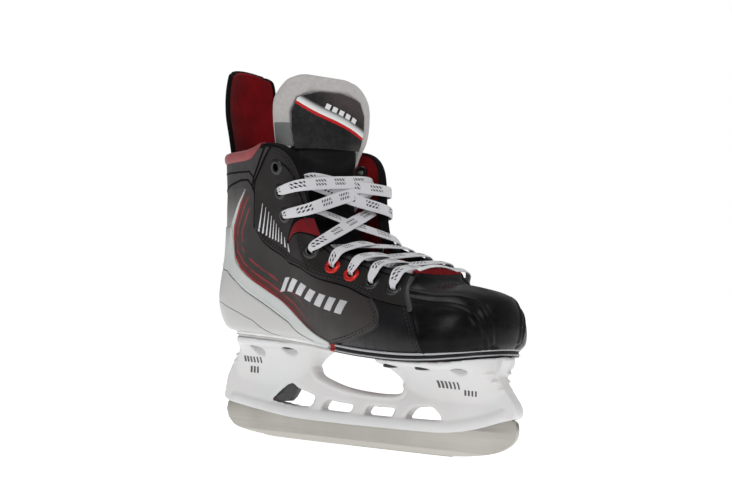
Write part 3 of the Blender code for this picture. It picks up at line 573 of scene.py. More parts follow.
def stitch_mesh(name, lines, finish, pitch=2.7, length=2.0, radius=0.32):
    """Thread stitches, one rounded grain each, along lines of (points, normals)."""
    rings, sides, lift = 5, 6, 0.1
    v = np.linspace(0, math.pi, rings + 2)[1:-1]
    a = np.linspace(0, 2 * math.pi, sides, endpoint=False)
    size = np.sqrt(np.sin(v))[:, None] * radius
    sink = (np.cos(v) ** 2)[:, None] * radius * 0.8
    run = np.broadcast_to((-np.cos(v) * length / 2)[:, None], (rings, sides))
    local = np.stack([run, size * np.cos(a), size * np.sin(a) - sink], -1).reshape(-1, 3)
    verts, faces, start = [], [], 0
    grain = grid_faces(rings, sides, True, True)
    for points, normals in lines:
        place, tangent, normal = polyline(points, normals, pitch)
        side = unit(np.cross(normal, tangent))
        out = np.cross(tangent, side)
        for p, x, y, z in zip(place, tangent, side, out):
            verts.append(p + z * lift + local @ np.stack([x, y, z]))
            faces += [[start + i for i in face] for face in grain]
            start += rings * sides
    mesh = bpy.data.meshes.new(name)
    mesh.from_pydata((np.concatenate(verts) * MM).tolist(), [], faces)
    mesh.shade_smooth()
    return add(name, mesh, finish)


def boot_line(side, line, height, inset=0.0):
    """A line of (s, t) on the boot as points and normals, moved sideways by `inset` mm."""
    s, t = dense_line(line, 0.03).T
    points, normals = layer(side * s, t, np.full(len(s), height)), outward(side * s, t)
    if inset:
        points = points + inset * unit(np.cross(normals, np.gradient(points, axis=0)))
    return points, normals


def tube(name, points, normals, width, height, finish, squareness=2.2, sides=14):
    """A cord or piping with an oval section along a line, its ends drawn in."""
    points, normals = np.asarray(points, float), unit(np.asarray(normals, float))
    tangent = unit(np.gradient(points, axis=0))
    side = unit(np.cross(tangent, normals))
    out = np.cross(side, tangent)
    x, y = oval(sides, 2 / squareness)
    ends = np.ones((len(points), 1))
    ends[0] = ends[-1] = 0.35
    loop = swept(points, side, out, x * width * ends / 2, y * height * ends / 2)
    return smooth_shade(add(name, grid_mesh(name, loop, ring=True, caps=True), finish), 60)


# ---------------------------------------------------------------- finishes
class Shade:
    """A material's node tree, built from short calls that return output sockets."""

    def __init__(self, name, **fixed):
        self.material = bpy.data.materials.new(name)
        self.material.use_nodes = True
        self.tree = self.material.node_tree
        self.surface = self.tree.nodes["Principled BSDF"]
        self.coords = self.tree.nodes.new("ShaderNodeTexCoord").outputs["Object"]
        for key, value in fixed.items():
            self.set(key.replace("_", " "), value)

    def feed(self, socket, value):
        if isinstance(value, bpy.types.NodeSocket):
            self.tree.links.new(value, socket)
        elif hasattr(value, "__len__") and len(value) == 3 and len(socket.default_value) == 4:
            socket.default_value = (*value, 1)
        else:
            socket.default_value = value

    def set(self, key, value):
        self.feed(self.surface.inputs[key], value)
        return self

    def value(self, name):
        node = self.tree.nodes.new("ShaderNodeAttribute")
        node.attribute_name = name
        return node.outputs["Fac"]

    def axis(self, name):
        """One of the object's coordinates, in metres."""
        node = self.tree.nodes.new("ShaderNodeSeparateXYZ")
        self.feed(node.inputs[0], self.coords)
        return node.outputs[name]

    def stretched(self, x, y, z, turn=0.0):
        node = self.tree.nodes.new("ShaderNodeMapping")
        self.feed(node.inputs["Vector"], self.coords)
        node.inputs["Scale"].default_value = (x, y, z)
        node.inputs["Rotation"].default_value = (0, turn, 0)
        return node.outputs["Vector"]

    def noise(self, scale, detail, vector=None, roughness=0.5):
        node = self.tree.nodes.new("ShaderNodeTexNoise")
        self.feed(node.inputs["Vector"], vector or self.coords)
        node.inputs["Scale"].default_value = scale
        node.inputs["Detail"].default_value = detail
        node.inputs["Roughness"].default_value = roughness
        return node.outputs["Fac"]

    def cells(self, scale):
        node = self.tree.nodes.new("ShaderNodeTexVoronoi")
        self.feed(node.inputs["Vector"], self.coords)
        node.inputs["Scale"].default_value = scale
        return node.outputs["Distance"]

    def math(self, kind, a, b=0.0):
        node = self.tree.nodes.new("ShaderNodeMath")
        node.operation = kind
        for socket, value in zip(node.inputs, (a, b)):
            self.feed(socket, value)
        return node.outputs[0]

    def plus(self, a, b):
        return self.math("ADD", a, b)

    def times(self, *factors):
        made = factors[0]
        for factor in factors[1:]:
            made = self.math("MULTIPLY", made, factor)
        return made

    def size(self, a):
        return self.math("ABSOLUTE", a)

    def wave(self, a):
        return self.math("SINE", a)

    def ease(self, value, low, high, to=(0.0, 1.0)):
        """0 below low, 1 above high, soft between."""
        node = self.tree.nodes.new("ShaderNodeMapRange")
        node.interpolation_type = "SMOOTHSTEP"
        self.feed(node.inputs["Value"], value)
        for key, number in zip(("From Min", "From Max", "To Min", "To Max"), (low, high, *to)):
            node.inputs[key].default_value = number
        return node.outputs["Result"]

    def cloud(self, scale, detail, low=0.3, high=0.7, to=(0.0, 1.0)):
        """Soft noise from one level to another."""
        return self.ease(self.noise(scale, detail), low, high, to)

    def roughness(self, scale, detail, smooth, rough, low=0.3, high=0.7):
        """A roughness that drifts between two levels."""
        self.set("Roughness", self.cloud(scale, detail, low, high, (smooth, rough)))

    def mix(self, factor, a, b):
        node = self.tree.nodes.new("ShaderNodeMix")
        node.data_type = "RGBA"
        self.feed(node.inputs["Factor"], factor)
        self.feed(node.inputs[6], a)
        self.feed(node.inputs[7], b)
        return node.outputs[2]

    def bump(self, height, distance, strength=1.0, after=None):
        node = self.tree.nodes.new("ShaderNodeBump")
        node.inputs["Distance"].default_value = distance * MM
        node.inputs["Strength"].default_value = strength
        self.feed(node.inputs["Height"], height)
        if after is not None:
            self.feed(node.inputs["Normal"], after)
        self.feed(self.surface.inputs["Normal"], node.outputs["Normal"])
        return node.outputs["Normal"]

    def level(self, wave):
        """A wave from -1 to 1 brought to 0 to 1."""
        return self.plus(self.times(wave, 0.5), 0.5)

    def weave(self, scale, turn=0.0):
        """Crossed threads, as a height from 0 to 1."""
        split = self.tree.nodes.new("ShaderNodeSeparateXYZ")
        self.feed(split.inputs[0], self.stretched(1, 1, 1, turn))
        rate = scale * 6.283
        warp = self.wave(self.times(self.plus(split.outputs["X"], split.outputs["Y"]), rate))
        return self.level(self.times(warp, self.wave(self.times(split.outputs["Z"], rate))))


def toned(color, factor, lift=0.0):
    """A colour made darker or lighter."""
    return tuple(min(part * factor + lift, 1) for part in color)


def grain_plastic(name, color, rough, wear=0.25, speck=900, depth=0.03, **fixed):
    """Moulded plastic: fine grain, faint tone changes and rubbed patches."""
    fixed.setdefault("Specular_IOR_Level", 0.4)
    s = Shade(name, **fixed)
    s.set("Base Color", s.mix(s.cloud(55, 4, 0.35), toned(color, 0.86), toned(color, 1.1, 0.004)))
    rub = s.noise(140, 5, s.stretched(1, 1, 3))
    s.set("Roughness", s.ease(rub, 0.3, 0.75, (rough * (1 - wear), min(rough * (1 + wear), 1))))
    s.bump(s.noise(speck, 2), depth, 0.6)
    return s.material


def fabric(name, color, rough, threads, depth, fuzz, sheen):
    """Woven or brushed cloth: threads, tone changes and a soft sheen."""
    s = Shade(name, Sheen_Weight=sheen, Sheen_Roughness=0.5, Specular_IOR_Level=0.15)
    weave = s.weave(threads)
    base = s.mix(s.cloud(70, 4), toned(color, 0.72), toned(color, 1.15))
    s.set("Base Color", s.mix(s.times(weave, 0.35), base, toned(color, 0.55)))
    s.roughness(300, 3, rough - 0.1, min(rough + 0.05, 1), 0.2, 0.8)
    s.bump(s.plus(s.times(weave, 1 - fuzz), s.times(s.noise(1600, 3), fuzz)), depth, 0.8)
    return s.material


def leather(name, color, rough, crease, shine=0.18):
    """Synthetic leather: pores, fine creases and gentle tone changes."""
    s = Shade(name, Specular_IOR_Level=shine)
    s.set("Base Color", s.mix(s.cloud(45, 4, 0.3, 0.72), toned(color, 0.8), toned(color, 1.18)))
    s.roughness(120, 4, rough - 0.07, rough + 0.07)
    folds = s.noise(42, 2, s.stretched(1.0, 1.0, 2.2, 0.6))
    creases = s.bump(s.size(s.plus(folds, -0.5)), crease * 6, 0.4)
    s.bump(s.cells(650), 0.06, 0.5, creases)
    return s.material


def metal(name, color, rough):
    """Metal with small scratches."""
    s = Shade(name, Metallic=1.0)
    scratches = s.noise(2600, 3)
    s.set("Base Color", s.mix(s.cloud(28, 3), toned(color, 0.88), color))
    s.set("Roughness", s.ease(scratches, 0.25, 0.75, (rough - 0.07, rough + 0.1)))
    s.bump(scratches, 0.012, 0.6)
    return s.material


def edge_plastic(name, front, rear, rough):
    """Sole edge that is pale under the heel panel and darker ahead of it, with a short red tip between."""
    s = Shade(name, Specular_IOR_Level=0.25)
    x, soft, tip_length = s.axis("X"), 0.0005, 0.005
    change = float(surface(4.95, 0.0)[0]) * MM
    ends = change + tip_length
    tip = s.mix(s.ease(x, ends - soft, ends + soft), (0.30, 0.02, 0.015), front)
    tone = s.mix(s.cloud(60, 4), toned(rear, 0.88), rear)
    s.set("Base Color", s.mix(s.ease(x, change - soft, change + soft), tone, tip))
    s.roughness(140, 4, rough * 0.8, rough * 1.2, 0.3, 0.75)
    s.bump(s.noise(600, 2), 0.04, 0.6)
    return s.material


QUARTER_GREY_HIGH = (0.024, 0.021, 0.021)


def heel_paint(s):
    """White behind the panel's front edge, shading to grey high up behind the thin streak."""
    t = s.value("t")
    paint = s.mix(s.cloud(40, 4), (0.47, 0.50, 0.485), (0.53, 0.545, 0.535))
    shade = s.mix(s.ease(t, 0.90, 0.76), QUARTER_GREY_HIGH, (0.15, 0.143, 0.138))
    width = s.times(s.math("SUBTRACT", 0.90, t), 22.0)
    streak = s.ease(s.math("SUBTRACT", width, s.value("edge")), -0.3, 0.5)
    low = s.ease(t, 0.80, 0.62)
    return s.mix(s.math("MAXIMUM", streak, low), shade, paint)


def quarter_finish():
    """The side of the boot: satin grey, black glossy vamp ahead, white streak and red lines behind."""
    s = Shade("quarter_satin", Specular_IOR_Level=0.28)
    t, white, front = s.value("t"), s.value("white"), s.value("front")
    tone = s.cloud(30, 4)
    grey = s.mix(tone, (0.026, 0.022, 0.0215), (0.037, 0.031, 0.030))
    lifted = s.mix(s.ease(t, 0.35, 0.88), grey, QUARTER_GREY_HIGH)
    region = s.times(s.ease(t, 0.86, 0.80), s.ease(s.value("s"), 4.7, 3.6))
    broken = s.times(region, s.cloud(120, 2, 0.35, 0.55))
    haze = s.mix(s.times(s.ease(white, -8, -0.5), region), lifted, (0.085, 0.014, 0.014))
    red_lines = (0.7, 0.9, 0.95, region), (5.2, 0.7, 0.75, broken), (10.5, 0.9, 0.6, broken)
    for far, wide, share, where in red_lines:
        gap = s.size(s.plus(white, far))
        haze = s.mix(s.times(s.ease(gap, wide, wide * 0.4), share, where), haze, (0.34, 0.022, 0.022))
    streak = s.mix(s.ease(white, -0.25, 0.25), haze, heel_paint(s))
    is_vamp = s.ease(front, 0.2, -0.2)
    vamp_tone = s.mix(tone, (0.004, 0.004, 0.005), (0.009, 0.009, 0.010))
    s.set("Base Color", s.mix(is_vamp, streak, vamp_tone))
    satin, gloss = s.cloud(180, 4, to=(0.40, 0.52)), s.ease(tone, 0, 1, (0.24, 0.36))
    s.set("Roughness", s.mix(is_vamp, satin, gloss))
    folds = s.noise(60, 3, s.stretched(1.4, 1, 0.5, 0.9))
    creases = s.bump(s.times(is_vamp, s.size(s.plus(folds, -0.5))), 2.2, 0.55)
    s.bump(s.plus(s.cells(800), s.weave(1100)), 0.035, 0.5, creases)
    return s.material


def panel_finish():
    """White moulded heel panel: thin dark lines, a dark shade at the heel and a fine grain."""
    s = Shade("white_heel_panel", Specular_IOR_Level=0.5, Coat_Weight=0.15, Coat_Roughness=0.2)
    white = s.value("white")
    below = s.mix(s.ease(s.value("under"), -0.5, 1.0), heel_paint(s), (0.50, 0.495, 0.49))
    side = s.mix(s.ease(white, -0.5, 0.0), (0.05, 0.05, 0.05), below)
    back = s.mix(s.ease(white, 1.0, 0.5), side, (0.47, 0.49, 0.475))
    thin = s.mix(s.ease(s.size(s.value("under")), 0.55, 0.25), back, (0.05, 0.05, 0.052))
    thinner = s.mix(s.ease(s.size(s.value("below")), 0.45, 0.2), thin, (0.12, 0.12, 0.12))
    s.set("Base Color", thinner)
    s.roughness(120, 4, 0.32, 0.44)
    s.bump(s.noise(1000, 2), 0.03, 0.5)
    return s.material


def lace_finish():
    """Flat woven lace with pairs of slanted dark dashes."""
    s = Shade("lace_weave", Sheen_Weight=0.3)
    run, across = s.value("along"), s.value("across")
    rib = s.level(s.wave(s.plus(s.times(run, 5.2), s.times(s.size(across), 4.0))))
    cord = s.level(s.wave(s.times(across, 8.5)))
    block = s.math("LESS_THAN", s.math("MODULO", run, 21.0), 11.5)
    slant = s.math("MODULO", s.plus(run, s.times(across, 0.9)), 2.9)
    dash = s.math("LESS_THAN", slant, 1.75)
    aside = s.size(s.plus(across, 0.6))
    rows = s.times(s.math("LESS_THAN", aside, 2.1), s.math("GREATER_THAN", aside, 0.45))
    cloth = s.mix(rib, (0.52, 0.515, 0.54), (0.70, 0.695, 0.72))
    s.set("Base Color", s.mix(s.times(block, dash, rows), cloth, (0.015, 0.015, 0.017)))
    s.roughness(500, 3, 0.75, 0.95, 0.2, 0.8)
    s.bump(s.plus(rib, s.times(cord, 0.6)), 0.16, 0.9)
    return s.material


def badge_finish():
    """Glossy badge: black with a slanted silver band that has a red lower edge, and a grey upper corner."""
    s = Shade("tongue_badge_gloss", Coat_Weight=0.05, Coat_Roughness=0.15, Specular_IOR_Level=0.22)
    across, height = s.value("across"), s.value("height")
    rise = s.plus(height, s.times(across, 0.40))
    rise = s.plus(rise, s.times(s.wave(s.times(across, 0.11)), -0.9))
    black = s.mix(s.cloud(90, 3), (0.007, 0.007, 0.008), (0.013, 0.013, 0.014))
    corner_share = s.times(s.ease(rise, 22, 40), s.ease(across, -22, 10))
    corner = s.mix(corner_share, black, (0.055, 0.045, 0.044))
    silver = s.mix(s.ease(rise, 22.5, 28.5), (0.74, 0.76, 0.75), (0.30, 0.30, 0.30))
    banded = s.mix(s.times(s.ease(rise, 22.0, 22.8), s.ease(rise, 28.6, 25.6)), corner, silver)
    printed = s.math("LESS_THAN", s.size(s.plus(rise, -29.6)), 1.9)
    run = s.plus(s.math("SUBTRACT", across, s.times(height, 0.5)), 90.0)
    spaced = s.math("LESS_THAN", s.math("MODULO", run, 6.4), 4.3)
    reach = s.times(s.math("GREATER_THAN", run, 70.4), s.math("LESS_THAN", run, 102.4))
    barred = s.mix(s.times(printed, spaced, reach), banded, (0.66, 0.65, 0.65))
    edge = s.times(s.ease(rise, 20.2, 20.8), s.ease(rise, 23.0, 22.4))
    s.set("Base Color", s.mix(edge, barred, (0.45, 0.012, 0.012)))
    s.roughness(250, 3, 0.2, 0.34)
    s.bump(s.weave(1400, 0.4), 0.03, 0.4)
    return s.material


def felt_finish():
    """White wool felt: matted fibres and soft mottling."""
    s = Shade("white_felt_fibres", Sheen_Weight=0.2, Sheen_Roughness=0.6)
    fibres = s.noise(1500, 6, s.stretched(1, 1, 0.5, 0.4), roughness=0.7)
    mottle = s.noise(420, 5)
    s.set("Base Color", s.mix(s.ease(mottle, 0.3, 0.7), (0.37, 0.355, 0.345), (0.42, 0.405, 0.395)))
    s.set("Roughness", s.ease(fibres, 0.2, 0.8, (0.88, 1.0)))
    first = s.bump(mottle, 0.15, 0.4)
    s.bump(fibres, 0.2, 0.8, first)
    return s.material


def runner_finish():
    """Runner steel: long drawn lines, a polished edge along the ice side and faint tone changes."""
    s = Shade("runner_brushed_steel", Metallic=1.0)
    lines = s.noise(900, 4, s.stretched(0.02, 1, 1.6))
    fine = s.noise(2400, 2, s.stretched(0.03, 1, 1))
    steel = s.mix(s.cloud(18, 3), (0.37, 0.355, 0.325), (0.44, 0.425, 0.39))
    edge = s.ease(s.axis("Z"), 0.0042, 0.0030)
    s.set("Base Color", s.mix(edge, steel, (0.47, 0.455, 0.42)))
    drawn, polished = s.ease(lines, 0.3, 0.7, (0.30, 0.46)), s.ease(fine, 0.3, 0.7, (0.14, 0.24))
    s.set("Roughness", s.mix(edge, drawn, polished))
    s.bump(s.plus(lines, fine), 0.010, 0.7)
    return s.material


def holder_finish():
    """White moulded nylon: an even tone with a faint flow pattern and a fine satin grain."""
    s = Shade("holder_moulding", Subsurface_Weight=0.04, Specular_IOR_Level=0.45)
    s.set("Base Color", s.mix(s.cloud(26, 3, 0.25, 0.75), (0.62, 0.615, 0.615), (0.66, 0.655, 0.655)))
    s.roughness(70, 3, 0.36, 0.42)
    s.bump(s.noise(1400, 2), 0.02, 0.4)
    return s.material


QUARTER = quarter_finish()
PANEL = panel_finish()
FACING = leather("facing_leather", (0.013, 0.0110, 0.0105), 0.50, 0.12)
BINDING = leather("binding_leather", (0.0025, 0.0025, 0.003), 0.60, 0.08, 0.06)
TOE_GLOSS = grain_plastic(
    "toe_cap_moulding", (0.0025, 0.0025, 0.003), 0.29, 0.25, 700, 0.02, Specular_IOR_Level=0.10
)
TOE_STRIP = grain_plastic("toe_strip_rubber", (0.022, 0.022, 0.023), 0.5)
CRIMSON = fabric("crimson_lining", (0.17, 0.0015, 0.004), 0.9, 700, 0.14, 0.7, 0.02)
COLLAR = fabric("collar_satin", (0.27, 0.055, 0.060), 0.55, 1100, 0.06, 0.2, 0.15)
RED_INSERT = fabric("red_insert", (0.15, 0.0015, 0.006), 0.6, 900, 0.06, 0.2, 0.05)
TONGUE_CLOTH = leather("tongue_leather", (0.004, 0.004, 0.004), 0.50, 0.3, 0.10)
FELT = felt_finish()
BADGE = badge_finish()
PATCH = fabric("size_patch", (0.16, 0.17, 0.165), 0.7, 1300, 0.05, 0.2, 0.1)
GUARD_SHELL = grain_plastic(
    "guard_shell", (0.008, 0.008, 0.009), 0.46, 0.2, 600, 0.05, Specular_IOR_Level=0.2
)
THREAD = fabric("black_thread", (0.010, 0.010, 0.011), 0.75, 2500, 0.05, 0.5, 0.2)
GREY_THREAD = fabric("grey_thread", (0.10, 0.10, 0.105), 0.75, 2500, 0.05, 0.5, 0.2)
LACE = lace_finish()
SILVER = grain_plastic("silver_print", (0.56, 0.56, 0.58), 0.36, 0.2, 900, 0.02, Metallic=0.35)
RED_PAINT = grain_plastic("red_anodised", (0.50, 0.016, 0.012), 0.28, 0.25, 900, 0.01, Metallic=0.5)
EYELET_BLACK = metal("eyelet_enamel", (0.06, 0.06, 0.062), 0.30)
# Steel painted near black as painted shade, so the rivets read as dark recesses in the holder's wells; the
# trigger pin uses the same darkened steel.
SHADE_DARKENED_STEEL = metal("steel_darkened_with_painted_shade", (0.06, 0.06, 0.062), 0.38)
HOLDER_WHITE = holder_finish()
MARK_GREY = grain_plastic("holder_print", (0.05, 0.05, 0.052), 0.4)
TRIGGER_GREY = grain_plastic("trigger_moulding", (0.040, 0.040, 0.042), 0.42, 0.2, 700, 0.04)
STEEL = runner_finish()
SPRING_STEEL = metal("spring_steel", (0.5, 0.5, 0.5), 0.3)
SOLE_BLACK = edge_plastic("outsole_moulding", (0.010, 0.010, 0.011), (0.50, 0.49, 0.485), 0.4)
PIPING = edge_plastic("piping_vinyl", (0.40, 0.40, 0.42), (0.48, 0.475, 0.47), 0.42)
PIPING_WHITE = grain_plastic("piping_white", (0.72, 0.73, 0.73), 0.4)
BOARD = fabric("insole_fibreboard", (0.15, 0.11, 0.075), 0.92, 500, 0.08, 0.8, 0.1)
FOAM = fabric("footbed_foam", (0.035, 0.035, 0.038), 0.95, 450, 0.16, 0.6, 0.2)


# ---------------------------------------------------------------- boot upper
def side_grid(side, s_range, low, high, columns, rows):
    """(u, t) of a panel of one side, its levels running from low(s) to high(s).

    Ahead of the ankle the columns are drawn in so that the last one follows the toe cap's seam."""
    even = np.linspace(*s_range, columns)[:, None] * np.ones((1, rows))
    v = np.linspace(0, 1, rows)[None]
    u = even
    for _ in range(5):
        t = low(u) + v * (high(u) - low(u))
        front = np.minimum(seam_at(t) - TOE_SEAM, s_range[1])
        drawn_in = ANKLE + (even - ANKLE) * (front - ANKLE) / max(s_range[1] - ANKLE, 0.1)
        u = np.where(even > ANKLE, drawn_in, even)
    if side < 0:
        u, t = -u[::-1], t[::-1]
    return u, t


def panel_piece(name, u, t, height, thickness, finish, values=None, edge=0.3):
    """A layer of the upper with its thickness, laid `height` mm outside the boot surface."""
    mesh = grid_mesh(name, layer(u, t, np.broadcast_to(height, u.shape)), values)
    return thicken(add(name, mesh, finish), thickness, edge)


def hole_rods(name, side, depth, radius, length):
    """A cutter for the eyelet holes of one side."""
    s, t = np.array(EYELETS).T
    places = layer(side * s, t, np.full(len(s), -depth))
    return rods(name, [(p, a, radius, length) for p, a in zip(places, outward(side * s, t))])


def build_quarters():
    """The grey side shells, stepped at the black vamp and raised along the white streak."""
    for side, word in SIDES:
        reach = float(seam_at(0)) - TOE_SEAM
        u, t = side_grid(side, (0.0, reach), np.zeros_like, lambda s: top_of(side * s), 170, 90)
        front = region_depth(u, t, softened(GREY_FRONT) + [(-0.5, -0.05), (-0.5, 1.05), (6.4, 1.05)])
        white = region_depth(u, t, WHITE_PANEL)
        step = 0.55 * smoothstep(front / 1.2 + 0.5)
        groove = -0.35 * np.exp(-((front + 0.9) / 0.7) ** 2)
        streak = smoothstep((t - 0.5) * 8) * smoothstep((0.87 - t) * 14)
        height = step + groove + 0.35 * smoothstep(white / 1.4 + 0.5) * streak
        edge = stroke_distance(u, t, WHITE_EDGE)
        values = {"t": t, "s": abs(u), "white": white, "front": front, "edge": edge}
        made = panel_piece(word + "_quarter_shell", u, t, height, QUARTER_THICKNESS, QUARTER, values)
        carve(made, [hole_rods(word + "_holes", side, *EYELET_HOLE)])
        settle(made, "boot", "quarter_grey", word + "_quarter")


def build_heel_counter():
    """The white panel round the heel, grooved along its dark line."""
    s = np.linspace(-4.96, 4.96, 200)
    front_edge = soft_table(WHITE_EDGE[3:], np.maximum(abs(s), 1.62))
    top = between(0.725, front_edge, smoothstep((abs(s) - 1.40) / 0.28))
    t = np.maximum(top, 0.012)[:, None] * np.linspace(0, 1, 56)
    u = np.broadcast_to(s[:, None], t.shape)
    under, below = (region_depth(u, t, line + PANEL_BASE[k]) for k, line in enumerate(PANEL_LINES))
    values = {
        "white": region_depth(u, t, WHITE_PANEL), "edge": stroke_distance(u, t, WHITE_EDGE),
        "under": under, "below": below, "t": t,
    }
    height = OVERLAY_OUTER + 0.25 * np.exp(-((under + 1.4) / 0.8) ** 2) - 0.35 * np.exp(-(under / 0.7) ** 2)
    made = panel_piece("heel_panel", u, t, height, OVERLAY_THICKNESS, PANEL, values, 0.35)
    settle(made, "boot", "white_panel", "heel_counter")


def facing_low(s):
    """The t of the facing's lower seam."""
    return soft_table(FACING_SEAM, s)


def facing_high(side):
    """The t of the facing's throat edge on one side, as a function of s."""
    return lambda s: np.minimum(top_of(side * s), table_at(FACING_TOP, s))


def facing_height(side, s, t):
    """Height of the facing's crowned front over the boot surface."""
    low, high = facing_low(s), facing_high(side)(s)
    share = (t - low) / np.maximum(high - low, 1e-3)
    return OVERLAY_OUTER + 0.55 * (1 - (2 * share - 1) ** 4)


def build_facings():
    """The crowned leather strips that carry the eyelets."""
    for side, word in SIDES:
        u, t = side_grid(side, (2.42, 7.45), facing_low, facing_high(side), 150, 40)
        groove = 0.3 * np.exp(-((stroke_distance(u, t, SPLIT_STITCH) / 0.8) ** 2))
        height = facing_height(side, abs(u), t) - groove
        made = panel_piece(word + "_facing_leather", u, t, height, OVERLAY_THICKNESS + 0.5, FACING, edge=0.4)
        carve(made, [hole_rods(word + "_facing_holes", side, *EYELET_HOLE)])
        settle(made, "boot", "facing_charcoal", word + "_facing")


def build_liner():
    """The red lining, with its eyelet holes."""
    s, low = np.linspace(-7.4, 7.4, 220), 0.05
    high = np.minimum(top_of(s) - 0.005, table_at(LINER_TOP, abs(s)))
    t = low + np.linspace(0, 1, 60) * (high - low)[:, None]
    u = np.broadcast_to(s[:, None], t.shape)
    height = LINER_OUTER - 0.3 + 0.25 * np.sin(t * 40) * smoothstep((t - 0.5) * 6)
    made = panel_piece("boot_lining", u, t, height, LINER_THICKNESS - 0.3, CRIMSON, edge=0.0)
    for side, word in SIDES:
        carve(made, [hole_rods(word + "_liner_holes", side, *LINER_HOLE)])
    settle(made, "boot", "red_lining", "liner")


def build_ankle_pads():
    """Crowned foam pads under the lining, fullest in the middle."""
    for side, word in SIDES:
        u, t = side_grid(side, (1.3, 2.8), lambda s: 0.5 + 0 * s, lambda s: 0.86 + 0 * s, 40, 40)
        a = (np.abs(u) - 1.3) / 1.5 * 2 - 1
        b = (t - 0.5) / 0.36 * 2 - 1
        fall = np.clip(1 - (abs(a) ** 3.2 + abs(b) ** 3.2), 0, 1) ** 0.5
        inner = layer(u, t, PAD_OUTER - 0.2 - PAD_THICKNESS * fall)
        outer = layer(u, t, np.full(u.shape, PAD_OUTER))
        name = word + "_ankle_padding"
        loop = np.concatenate([outer, inner[:, ::-1]], axis=1)
        made = smooth_shade(add(name, grid_mesh(name, loop, ring=True, caps=True), CRIMSON), 70)
        settle(made, "boot", "red_lining", word + "_ankle_pad")


def rim_frame(side, s):
    """Places on the upper's free edge with the outward and upward directions there."""
    u = side * s
    top = top_of(u)
    place = surface(u, top)
    out = outward(u, top - 0.01)
    up = unit(place - surface(u, top - 0.04))
    return place, out, up


def rim_band(name, side, s, sides, powers, reach, rise, finish):
    """A rolled band over the upper's free edge; reach and rise each give a middle and a half width."""
    place, out, up = rim_frame(side, s)
    x, y = oval(sides, *powers)
    loop = swept(place, out, up, reach[0] + x * reach[1], rise[0] + y * rise[1])
    return smooth_shade(add(name, grid_mesh(name, loop, ring=True, caps=True), finish), 60)


def build_collar():
    """Padded satin band rolled over the top of the heel, and the piping along the throat."""
    s = np.linspace(-2.62, 2.62, 150)[:, None]
    fade = smoothstep((2.66 - abs(s)) / 0.5)
    skirt = 1.5 + 5.0 * fade
    reach, rise = (-1.9 + 0.125 * np.sin(s * 9.0), 2.6 + 1.1 * fade), (2.0 - skirt / 2, skirt / 2 + 0.6)
    band = rim_band("collar_roll", 1, s[:, 0], 30, (0.8, 0.75), reach, rise, COLLAR)
    settle(band, "boot", "collar_fabric", "collar_band")
    s = np.linspace(2.62, 7.25, 150)
    ends = np.ones((len(s), 1))
    ends[0] = ends[-1] = 0.5
    for side, word in SIDES:
        name = word + "_throat_binding"
        made = rim_band(name, side, s, 22, (2 / 2.4,), (-1.35, 3.25 * ends), (-0.25, 1.35 * ends), BINDING)
        settle(made, "boot", "facing_charcoal")


def build_toe_cap():
    """The toe cap with its two ridges, its top smoothed where the sides meet."""
    v = np.linspace(0, 1, 70)
    start = seam_at(v) - TOE_SEAM - 0.05
    u = start + np.linspace(0, 1, 120)[:, None] * (len(HULL) - 2 * start)
    t = np.broadcast_to(v, u.shape)
    s = np.where(u > TIP, len(HULL) - u, u)
    ridges = [
        [(7.3, 0.80), (8.16, 0.775), (9.1, 0.765), (9.88, 0.688), (10.26, 0.473), (10.4, 0.2)],
        [(7.4, 0.72), (8.0, 0.697), (8.81, 0.677), (9.57, 0.595), (10.07, 0.358), (10.31, 0.1)],
    ]
    wall = np.full(u.shape, TOE_CAP_OUTER)
    signed = np.where(u > TIP, u - len(HULL), u)
    for line, crest in zip(ridges, (0.75, 0.55)):
        gap = stroke_distance(signed, t, along(line, np.linspace(0, 1, 60)))
        wall = wall + crest * np.exp(-(gap / 1.3) ** 2) - 0.2 * np.exp(-((gap - 2.6) / 1.2) ** 2)
    wall = wall + 0.45 * smoothstep(1 - (s - start) / 0.14)
    places = layer(u, t, wall)
    places[:, -1] = (places[:, -1] + places[::-1, -1]) / 2
    made = add("toe_cap_shell", grid_mesh("toe_cap_shell", places), TOE_GLOSS)
    bm = bmesh.new()
    bm.from_mesh(made.data)
    bmesh.ops.remove_doubles(bm, verts=bm.verts, dist=0.00005)

    def on_top(place):
        return abs(place.y - float(centre_shift(place.x / MM)) * MM) < 0.012 and place.z > 0.098

    top = [vert for vert in bm.verts if on_top(vert.co) and not vert.is_boundary]
    for _ in range(14):
        bmesh.ops.smooth_vert(bm, verts=top, factor=0.5, use_axis_x=True, use_axis_y=True, use_axis_z=True)
    bm.to_mesh(made.data)
    bm.free()
    thicken(made, TOE_CAP_THICKNESS - 0.4, 0.4)
    settle(made, "boot", "toe_plastic", "toe_cap")


def sole_outline(inset):
    """Closed line round the sole's edge, moved inwards."""
    edge = surface(np.linspace(-TIP, TIP, 220, endpoint=False), 0.0)
    tangent = np.roll(edge, -1, 0) - np.roll(edge, 1, 0)
    return edge - inset * unit(np.stack([-tangent[:, 1], tangent[:, 0], 0 * tangent[:, 0]], -1))


def sole_slab(name, inset, lift, thickness, finish, edge=0.5):
    """A plate across the sole's outline, dished like the sole line, with a rounded rim."""
    outline = sole_outline(inset)
    half = len(outline) // 2
    outer, inner = outline[:half + 1], np.concatenate([outline[half:], outline[:1]])[::-1]
    rows = between(outer[:, None], inner[:, None], np.linspace(0, 1, 30)[None, :, None])
    rows[..., 2] = sole_height(rows[..., 0]) + lift + thickness
    mesh = mend(grid_mesh(name, rows), 0.00002, upward=True)
    return thicken(add(name, mesh, finish), thickness, edge)


def rivet_places():
    """Name and place (x, y) of every rivet."""
    for group, places in RIVETS.items():
        for number, (x, y) in enumerate(places, 1):
            for side, word in SIDES:
                yield f"{group}_rivet_{word}_{number}", x, side * y


def rivet_rods(name, radius, sink=0.0):
    """A cutter with an upright rod at every rivet, its middle `sink` mm under the sole line."""
    return rods(name, [((x, y, float(sole_height(x)) - sink), UP, radius, 30) for _, x, y in rivet_places()])


